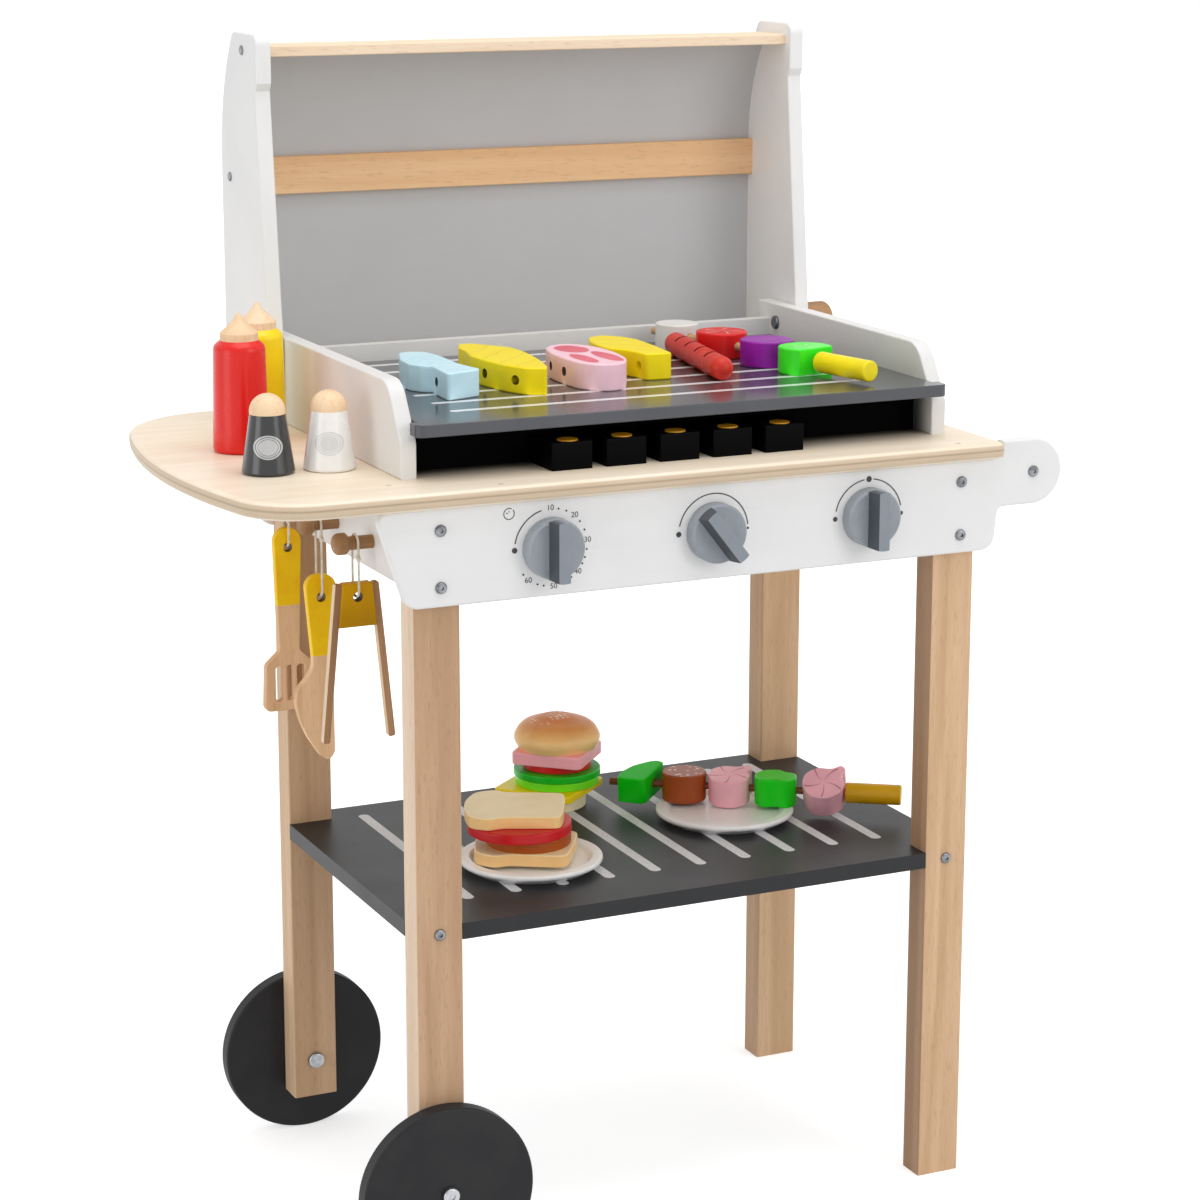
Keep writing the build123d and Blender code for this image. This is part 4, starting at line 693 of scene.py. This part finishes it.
def sausage_paint():
    f = Finish("sausage paint")
    base, clouds, grit = food_paint(f, colour(210, 46, 30), colour(194, 34, 24))
    sheen = f.step(f.noise(f.place, scale=140.0, detail=3.0, rough=0.5), 0.5, 0.8)
    toned = f.blend(f.times(sheen, 0.3), base, colour(226, 84, 66))
    low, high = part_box("sausage")
    centre = (low + high) / 2
    ahead = f.along((centre.x, centre.y),
                    (centre.x + sin(SAUSAGE_LEAN), centre.y + cos(SAUSAGE_LEAN)))[0]
    cuts = [f.below(f.absolute(f.minus(ahead, place * MM)), SAUSAGE_CUT_HALF_WIDTH, soft=0.0001)
            for place in SAUSAGE_CUTS]
    deep = f.both(f.either(*cuts), f.above(f.z, high.z - SAUSAGE_CUT_DEPTH, soft=0.0001))
    toned = f.blend(f.times(deep, 0.9), toned, colour(40, 8, 6))
    return f.done(toned, f.offset(clouds, 0.34, 0.5), grit, depth=0.00004, coat=0.1, shine=0.25)


wear(sausage_paint(), "sausage")
print("paint on fish, steak and sausage")

# %% [markdown]
# A skewer is one stick with pieces of different colours, so its finish reads the way along it.
# Between two pieces only the stick is left, and it is thinner than 7 mm, so it shows as wood.

# %% Skewers
STICK_REACH = 0.0035
GRILL_TIP, GRILL_END = spot(322, 290, 0)[:2], spot(381, 42, 0)[:2]
SHELF_TIP, SHELF_END = spot(248.6, 214.1, 0)[:2], spot(439.6, 83.1, 0)[:2]
PRINTS = {
    "grill skewer paint": (("pale rays", 84, 0, 15), ("pale rays", 182, 0, 11)),
    "shelf skewer paint": (("dots", 59.5, 0, 15.5), ("rays", 95.5, 1.8, 16),
                           ("rays", 170.5, 6, 16)),
}
RAY_INK = {"rays": colour(186, 92, 112), "pale rays": colour(255, 236, 236)}
DOT_INK = colour(238, 206, 184)


def skewer_paint(name, tip, end, height, stops, handle_length, handle, wood):
    """Colours by distance along the stick; wood wherever the shape is as thin as the stick."""
    f = Finish(name)
    ahead, aside, run = f.along(tip, end)
    handle_start = (run / MM - handle_length) * MM
    clouds, grit = f.clouds_and_grit(60.0)
    fibre = f.noise(f.vector(f.times(ahead, 0.06), aside, f.z), scale=900.0, detail=2.0, rough=0.5)
    tone = stops[0][1]
    for limit, piece in stops[1:]:
        tone = f.blend(f.above(ahead, limit * MM), tone, piece)
    tone = f.blend(f.times(f.step(clouds, 0.3, 0.75), 0.10), tone, colour(40, 30, 30))
    up = f.top_face(limit=0.78, soft=0.03)
    for kind, middle, shift, radius in PRINTS[name]:
        before, beside = f.minus(ahead, middle * MM), f.plus(aside, shift * MM)
        away = f.radius(before, beside)
        if kind == "dots":
            dot = f.below(f.cells(f.place, scale=210.0, spread=0.9), 0.30, soft=0.05)
            mark = f.both(dot, up, f.below(away, radius * MM))
            tone = f.blend(mark, tone, DOT_INK)
        else:
            turn = f.maths("ARCTAN2", beside, before)
            swirl = f.maths("MULTIPLY_ADD", turn, 2.5, f.times(away, 60.0))
            ray = f.absolute(f.maths("SINE", swirl))
            mark = f.both(f.below(ray, 0.13, soft=0.05), up, f.between(away, 0.002, radius * MM))
            tone = f.blend(f.times(mark, 0.75), tone, RAY_INK[kind])
    thin = f.both(f.below(f.radius(aside, f.minus(f.z, height)), STICK_REACH, soft=0.0001),
                  f.below(ahead, handle_start - 0.0005, soft=0.0001))
    tone = f.blend(thin, tone, f.blend(f.step(fibre, 0.3, 0.7), wood, dimmed(wood, 0.7)))
    grip = f.above(ahead, handle_start, soft=0.0001)
    tone = f.blend(grip, tone, f.blend(f.step(clouds, 0.3, 0.7), handle, dimmed(handle, 0.9)))
    return f.done(tone, f.offset(clouds, 0.30, 0.42), grit, depth=0.00003, coat=0.15, shine=0.25)


wear(skewer_paint("grill skewer paint", GRILL_TIP, GRILL_END, FOOD_MIDDLE,
                  ((0, colour(240, 238, 235)), (56, colour(232, 34, 32)),
                   (109, colour(156, 30, 172)), (160, colour(62, 248, 38))),
                  handle_length=56, handle=colour(255, 234, 10), wood=colour(216, 176, 132)),
     "grill_skewer")
wear(skewer_paint("shelf skewer paint", SHELF_TIP, SHELF_END, 0.28125,
                  ((0, colour(6, 208, 14)), (42, colour(160, 72, 20)),
                   (77.5, colour(255, 188, 200)), (114, colour(4, 220, 8)),
                   (151.5, colour(255, 190, 204))),
                  handle_length=44, handle=colour(216, 164, 0), wood=colour(140, 78, 44)),
     "shelf_skewer")
print("paint on two skewers")

# %% [markdown]
# Burger and sandwich are piles of turned and sawn layers, so their finish reads the height.
# The bun darkens towards its top, where pale seeds are printed as small round spots.
# The sandwich's bread is darker on its sides, as a crust is.

# %% Burger and sandwich
JOINT = 0.0003
SEED_PATCH, SEEDS_ABOVE = 0.016, 6


def layered(name, node, stops, seeds=None, crust=None):
    """Layers by height, from (lower limit in mm, colour); seeds and crust give heights in mm."""
    f = Finish(name)
    low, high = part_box(node)
    clouds, grit = f.clouds_and_grit(50.0)
    tone = stops[0][1]
    for limit, layer in stops[1:]:
        tone = f.blend(f.above(f.z, limit * MM + JOINT, soft=0.0001), tone, layer)
    if crust:
        side = f.both(f.below(f.absolute(f.facing("z")), 0.5, soft=0.3), f.either(
            f.below(f.z, crust[0] * MM), f.above(f.z, crust[1] * MM)))
        tone = f.blend(f.times(side, 0.8), tone, crust[2])
    if seeds:
        base, top = seeds
        brown = f.step(f.plus(f.z, f.times(clouds, 0.004)), base * MM, top * MM)
        in_bun = f.above(f.z, stops[-1][0] * MM)
        tone = f.blend(f.both(brown, in_bun), tone, colour(218, 128, 54))
        x, y = (low.x + high.x) / 2, (low.y + high.y) / 2
        patch = f.radius(f.minus(f.x, x), f.minus(f.y, y))
        dot = f.both(f.below(f.cells(f.place, scale=215.0, spread=0.35), 0.30, soft=0.06),
                     f.below(patch, SEED_PATCH, soft=0.001),
                     f.above(f.z, (base + SEEDS_ABOVE) * MM, soft=0.001))
        tone = f.blend(dot, tone, colour(246, 200, 158))
    tone = f.blend(f.times(f.step(clouds, 0.35, 0.75), 0.06), tone, colour(60, 30, 20))
    return f.done(tone, f.offset(clouds, 0.30, 0.44), grit, depth=0.00003, coat=0.15, shine=0.25)


wear(layered("burger paint", "burger", (
    (262, colour(250, 236, 196)), (274, colour(255, 226, 0)), (280, colour(120, 240, 24)),
    (287, colour(14, 190, 24)), (293, colour(218, 24, 24)), (299, colour(255, 180, 188)),
    (309, colour(255, 214, 144))), seeds=(317, 338)), "burger")
wear(layered("sandwich paint", "sandwich", (
    (262, colour(255, 232, 184)), (279.5, colour(172, 80, 8)), (288.5, colour(206, 18, 26)),
    (296.5, colour(255, 232, 180))), crust=(279.5, 296.5, colour(250, 198, 124))), "sandwich")
print("paint on burger and sandwich")

# %% [markdown]
# The printed marks round the knobs are thin ink on the panel: arcs, dots and small numbers.
# An arc is a surface of angle and width, given the thickness of a print by a Solidify modifier.

# %% Dial marks
FACE_Y = -9.05
DIAL_RADIUS, DIAL_HEIGHT = 27.5, 530.0
ARC_STEPS, DOT_SIDES = 48, 20
PRINT_THICKNESS = 0.0002


def mesh_of(name, points, faces):
    """A mesh object from an array of points and a list of faces."""
    mesh = bpy.data.meshes.new(name)
    mesh.from_pydata(points.reshape(-1, 3).tolist(), [], faces)
    mesh.update()
    obj = bpy.data.objects.new(name, mesh)
    bpy.context.scene.collection.objects.link(obj)
    return obj


def grid_faces(rows, columns, offset, wrap=False):
    """Quads of a grid of points; with wrap, the end of each row is joined to its start."""
    faces = []
    for i in range(rows - 1):
        for j in range(columns if wrap else columns - 1):
            k = (j + 1) % columns
            faces.append((offset + i * columns + j, offset + i * columns + k,
                          offset + (i + 1) * columns + k, offset + (i + 1) * columns + j))
    return faces


def arc_points(centre, radius, start, end, width):
    """x = cx + r cos a, z = cz + r sin a, for a from start to end and r over the width."""
    angle = np.radians(np.linspace(start, end, ARC_STEPS))[:, None]
    reach = radius + np.array([-width / 2, width / 2])[None, :]
    x = centre[0] + reach * np.cos(angle)
    z = centre[1] + reach * np.sin(angle)
    return np.stack([x, np.full_like(x, FACE_Y), z], axis=-1)


def dot_points(centre, radius):
    """A small disc: a tiny ring round the centre and a ring at the radius."""
    angle = np.linspace(0, 2 * pi, DOT_SIDES, endpoint=False)[None, :]
    reach = np.array([radius * 0.02, radius])[:, None]
    x = centre[0] + reach * np.cos(angle)
    z = centre[1] + reach * np.sin(angle)
    return np.stack([x, np.full_like(x, FACE_Y), z], axis=-1)


def around(centre, angle, radius=DIAL_RADIUS):
    """A place on a dial's circle, in mm across and up."""
    return centre[0] + radius * cos(radians(angle)), centre[1] + radius * sin(radians(angle))


left, middle, right = [(x, DIAL_HEIGHT) for x in (99.8, 226.0, 352.2)]
arcs = [(dial, DIAL_RADIUS, start, end, 0.8) for dial, start, end in (
    (left, 170, 105), (middle, 168, 6), (right, 168, 98), (right, 82, 12))]
dots = [(around(left, 180), 2.0), (around(middle, 180), 2.0), (around(middle, 0), 0.9),
        (around(right, 180), 1.8), (around(right, 90), 2.2), (around(right, 0), 1.5)]
dots += [(around(left, angle), 0.7)
         for angle in (78, 65, 37, 22, -8, -20, -30, -56, -66, -102, -112, -140)]
clock = (68.3, 556.3)
arcs += [(clock, 3.9, 60, 400, 0.7), (clock, 1.5, 80, 100, 1.6), (clock, 1.5, 150, 175, 1.6)]
points, faces = [], []
for centre, radius, start, end, width in arcs:
    piece = arc_points(centre, radius, start, end, width)
    faces += grid_faces(ARC_STEPS, 2, sum(map(len, points)))
    points.append(piece.reshape(-1, 3))
for centre, radius in dots:
    piece = dot_points(centre, radius)
    faces += grid_faces(2, DOT_SIDES, sum(map(len, points)), wrap=True)
    points.append(piece.reshape(-1, 3))
points = np.concatenate(points)
points[:, 0] += LEG_CORNER[0]
points[:, 1] += LEG_CORNER[1]
dial_marks = mesh_of("dial_marks", points * MM, faces)
dial_marks.modifiers.new("print", "SOLIDIFY").thickness = PRINT_THICKNESS
print("dial marks", len(points), "points")

# %% [markdown]
# The numbers are plain figures of no maker, set small and upright round the left dial.
# Each is a text turned into a mesh before it is placed, so it is a piece like any other.

# %% Dial numbers
FIGURE_SIZE, FIGURE_RADIUS = 5.6, 28


def number_mesh(text, centre):
    """The mesh of a figure that stands on the panel's face at a place in mm."""
    curve = bpy.data.curves.new("figure " + text, "FONT")
    curve.body = text
    curve.size = FIGURE_SIZE * MM
    curve.extrude = PRINT_THICKNESS / 2
    curve.align_x, curve.align_y = "CENTER", "CENTER"
    writer = bpy.data.objects.new("writer", curve)
    bpy.context.scene.collection.objects.link(writer)
    bpy.context.view_layer.update()
    drawn = writer.evaluated_get(bpy.context.evaluated_depsgraph_get())
    mesh = bpy.data.meshes.new_from_object(drawn)
    bpy.data.objects.remove(writer)
    upright = Matrix.Rotation(pi / 2, 4, "X")
    mesh.transform(Matrix.Translation(spot(centre[0], FACE_Y, centre[1])) @ upright)
    return mesh


figures = [("10", 91), ("20", 50), ("30", 6), ("40", -43), ("50", -86), ("60", -128)]
parts = [number_mesh(text, around(left, angle, FIGURE_RADIUS)) for text, angle in figures]
points, faces = [], []
for mesh in parts:
    offset = sum(map(len, points))
    piece = np.zeros(len(mesh.vertices) * 3)
    mesh.vertices.foreach_get("co", piece)
    points.append(piece.reshape(-1, 3))
    faces += [tuple(offset + v for v in polygon.vertices) for polygon in mesh.polygons]
dial_numbers = mesh_of("dial_numbers", np.concatenate(points), faces)


def ink():
    f = Finish("dark print")
    clouds, grit = f.clouds_and_grit(400.0, grit=1500.0)
    tone = f.blend(f.step(clouds, 0.3, 0.7), colour(34, 34, 36), colour(66, 66, 68))
    return f.done(tone, f.offset(grit, 0.45, 0.6), grit, depth=0.00001)


print_ink = ink()
for piece in (dial_marks, dial_numbers):
    piece.data.materials.append(print_ink)
    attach(piece, "frame")
print("figures", [text for text, angle in figures])

# %% [markdown]
# Each utensil hangs by a loop of off-white cotton cord: three strands laid round one another.
# The loop's middle line is two straight runs and two half turns, round the peg and the hole.
# A strand winds round that line, so every point is a formula of the way along and the way round.

# %% Strings
CORD, STRAND, LAY = 0.001, 0.00052, 0.0052
LOOP_RINGS, KNOT_RINGS, SIDES, STRANDS = 360, 120, 8, 3
KNOT_SIZE, KNOT_DROP = 0.0009, 0.0175


def loop_line(low, high):
    """Middle line of the loop: points, and the outward direction at each, by distance along it."""
    radius = (high.y - low.y) / 2 - CORD
    x, y = (low.x + high.x) / 2, (low.y + high.y) / 2
    top, bottom = high.z - CORD - radius, low.z + CORD + radius
    straight, bend = top - bottom, pi * radius
    total = 2 * (straight + bend)
    s = np.linspace(0, total, LOOP_RINGS, endpoint=False)
    up = s < straight
    over = (s >= straight) & (s < straight + bend)
    down = (s >= straight + bend) & (s < 2 * straight + bend)
    angle = np.select([up, over, down],
                      [np.full_like(s, pi), pi - (s - straight) / radius, np.zeros_like(s)],
                      -(s - 2 * straight - bend) / radius)
    centre = np.select([up, over, down],
                       [bottom + s, np.full_like(s, top), top - (s - straight - bend)], bottom)
    out = np.stack([np.zeros_like(s), np.cos(angle), np.sin(angle)], axis=-1)
    line = np.stack([np.full_like(s, x), y + radius * np.cos(angle),
                     centre + radius * np.sin(angle)], axis=-1)
    line[up | down, 2] = centre[up | down]
    return line, out, total


def tube(line, out, side, radius):
    """A ring of points about each point of a line: line + r (out cos v + side sin v)."""
    v = np.linspace(0, 2 * pi, SIDES, endpoint=False)[None, :, None]
    return line[:, None, :] + radius * (out[:, None, :] * np.cos(v) + side[:, None, :] * np.sin(v))


def closed_faces(rings, offset):
    """Quads of a tube whose last ring joins its first."""
    last = offset + (rings - 1) * SIDES
    return grid_faces(rings, SIDES, offset, wrap=True) + [
        (last + j, last + (j + 1) % SIDES, offset + (j + 1) % SIDES, offset + j)
        for j in range(SIDES)]


def knot_line(centre):
    """An overhand knot drawn tight: a trefoil curve, squeezed to the cord's run."""
    t = np.linspace(0, 2 * pi, KNOT_RINGS, endpoint=False)
    return centre + KNOT_SIZE * np.stack([np.sin(3 * t) * 0.8, np.cos(t) - np.cos(2 * t),
                                          (np.sin(t) + np.sin(2 * t)) * 1.2], axis=-1)


cotton = Finish("off-white cotton")
fuzz = cotton.noise(cotton.place, scale=2600.0, detail=3.0, rough=0.6)
worn = cotton.noise(cotton.place, scale=300.0, detail=3.0, rough=0.5)
cotton_tone = cotton.blend(cotton.step(worn, 0.3, 0.7), colour(240, 234, 222),
                           colour(222, 212, 194))
cotton_finish = cotton.done(cotton_tone, cotton.offset(fuzz, 0.8, 0.95), fuzz, depth=0.00012,
                            shine=0.2)
for name in ("spatula", "knife", "tongs"):
    low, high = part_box(name + "_loop")
    line, out, total = loop_line(low, high)
    side = np.tile([1.0, 0.0, 0.0], (len(line), 1))
    turns = round(total / LAY)
    phase = np.linspace(0, 2 * pi * turns, len(line), endpoint=False)
    points, faces = [], []
    for k in range(STRANDS):
        lay = (phase + 2 * pi * k / STRANDS)[:, None]
        strand = line + (CORD - STRAND) * (out * np.cos(lay) + side * np.sin(lay))
        faces += closed_faces(len(line), sum(map(len, points)))
        points.append(tube(strand, out, side, STRAND).reshape(-1, 3))
    knot = knot_line(np.array([(low.x + high.x) / 2, low.y + CORD, high.z - KNOT_DROP]))
    ahead = np.roll(knot, -1, axis=0) - np.roll(knot, 1, axis=0)
    ahead /= np.linalg.norm(ahead, axis=1)[:, None]
    knot_out = np.cross(ahead, [0.3, 0.5, 0.81])
    knot_out /= np.linalg.norm(knot_out, axis=1)[:, None]
    faces += closed_faces(len(knot), sum(map(len, points)))
    points.append(tube(knot, knot_out, np.cross(ahead, knot_out), KNOT_SIZE).reshape(-1, 3))
    string = mesh_of(name + "_string", np.concatenate(points), faces)
    string.data.materials.append(cotton_finish)
    string.data.polygons.foreach_set("use_smooth", [True] * len(string.data.polygons))
    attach(string, name + "_body")
    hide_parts(name + "_loop")
    print(name, "string", round(total * 1000), "mm round,", turns, "turns of lay")

# %% [markdown]
# A pale floor under soft studio light: a bright sky, and wide soft lights above, right and left.
# The sky is plain white to the camera and in reflections, and dimmer as a light.
# The floor glows in the same way, more strongly far from the object, so that it ends in white.

# %% Floor, light and camera
SKY_SHARE, FLOOR_SHARE = 0.64, 0.57
YAW, PITCH, ROLL = radians(-25.595), radians(90 - 12.411), radians(0.24)
WHITE_LIGHT = (1.0, 1.0, 1.0, 1.0)

floor_points = np.array([[-9, -5, 0], [9, -5, 0], [9, 24, 0], [-9, 24, 0]], float)
floor = mesh_of("floor", floor_points, [(0, 1, 2, 3)])
f = Finish("pale floor")
far_away = f.step(f.radius(f.x, f.y), 0.7, 2.6)
f.done((0.8, 0.8, 0.8, 1.0), 0.9, shine=0.1)
f.shader.inputs["Emission Color"].default_value = WHITE_LIGHT
f.join(f.shader.inputs["Emission Strength"],
       f.times(f.seen_directly(), f.offset(far_away, FLOOR_SHARE, 1.0)))
floor.data.materials.append(f.material)

world = bpy.data.worlds.new("studio")
bpy.context.scene.world = world
world.use_nodes = True
sky = world.node_tree.nodes["Background"]
sky.inputs["Color"].default_value = WHITE_LIGHT
studio = Network(world.node_tree)
studio.join(sky.inputs["Strength"], studio.offset(studio.seen_directly(), SKY_SHARE, 1.0))


def soft_light(name, place, aim, size, energy):
    """A square area light of a size in metres and an energy in watts, aimed at a place."""
    light = bpy.data.lights.new(name, "AREA")
    light.shape = "SQUARE"
    light.size = size
    light.energy = energy
    holder = bpy.data.objects.new(name, light)
    bpy.context.scene.collection.objects.link(holder)
    holder.location = place
    holder.rotation_euler = (Vector(aim) - Vector(place)).to_track_quat("-Z", "Y").to_euler()


soft_light("left", (-3.2, -0.8, 0.9), (0, 0, 0.4), size=1.6, energy=16.5)
soft_light("right", (1.9, -3.0, 1.8), (0, 0, 0.5), size=1.8, energy=25.5)
soft_light("top", (0.1, -0.4, 3.1), (0, 0, 0.4), size=2.2, energy=33.0)

camera_data = bpy.data.cameras.new("camera")
camera_data.sensor_width = 36.0
camera_data.lens = 93.97
camera_data.shift_x = -0.0404
camera_data.shift_y = -0.0482
camera_data.clip_start, camera_data.clip_end = 0.1, 60.0
camera = bpy.data.objects.new("camera", camera_data)
bpy.context.scene.collection.objects.link(camera)
turned = (Matrix.Rotation(YAW, 4, "Z") @ Matrix.Rotation(PITCH, 4, "X")
          @ Matrix.Rotation(ROLL, 4, "Z"))
camera.location = CAMERA
camera.rotation_euler = turned.to_euler()
bpy.context.scene.camera = camera
bpy.context.scene.view_settings.view_transform = "Standard"
print("camera at", [round(v, 3) for v in CAMERA])
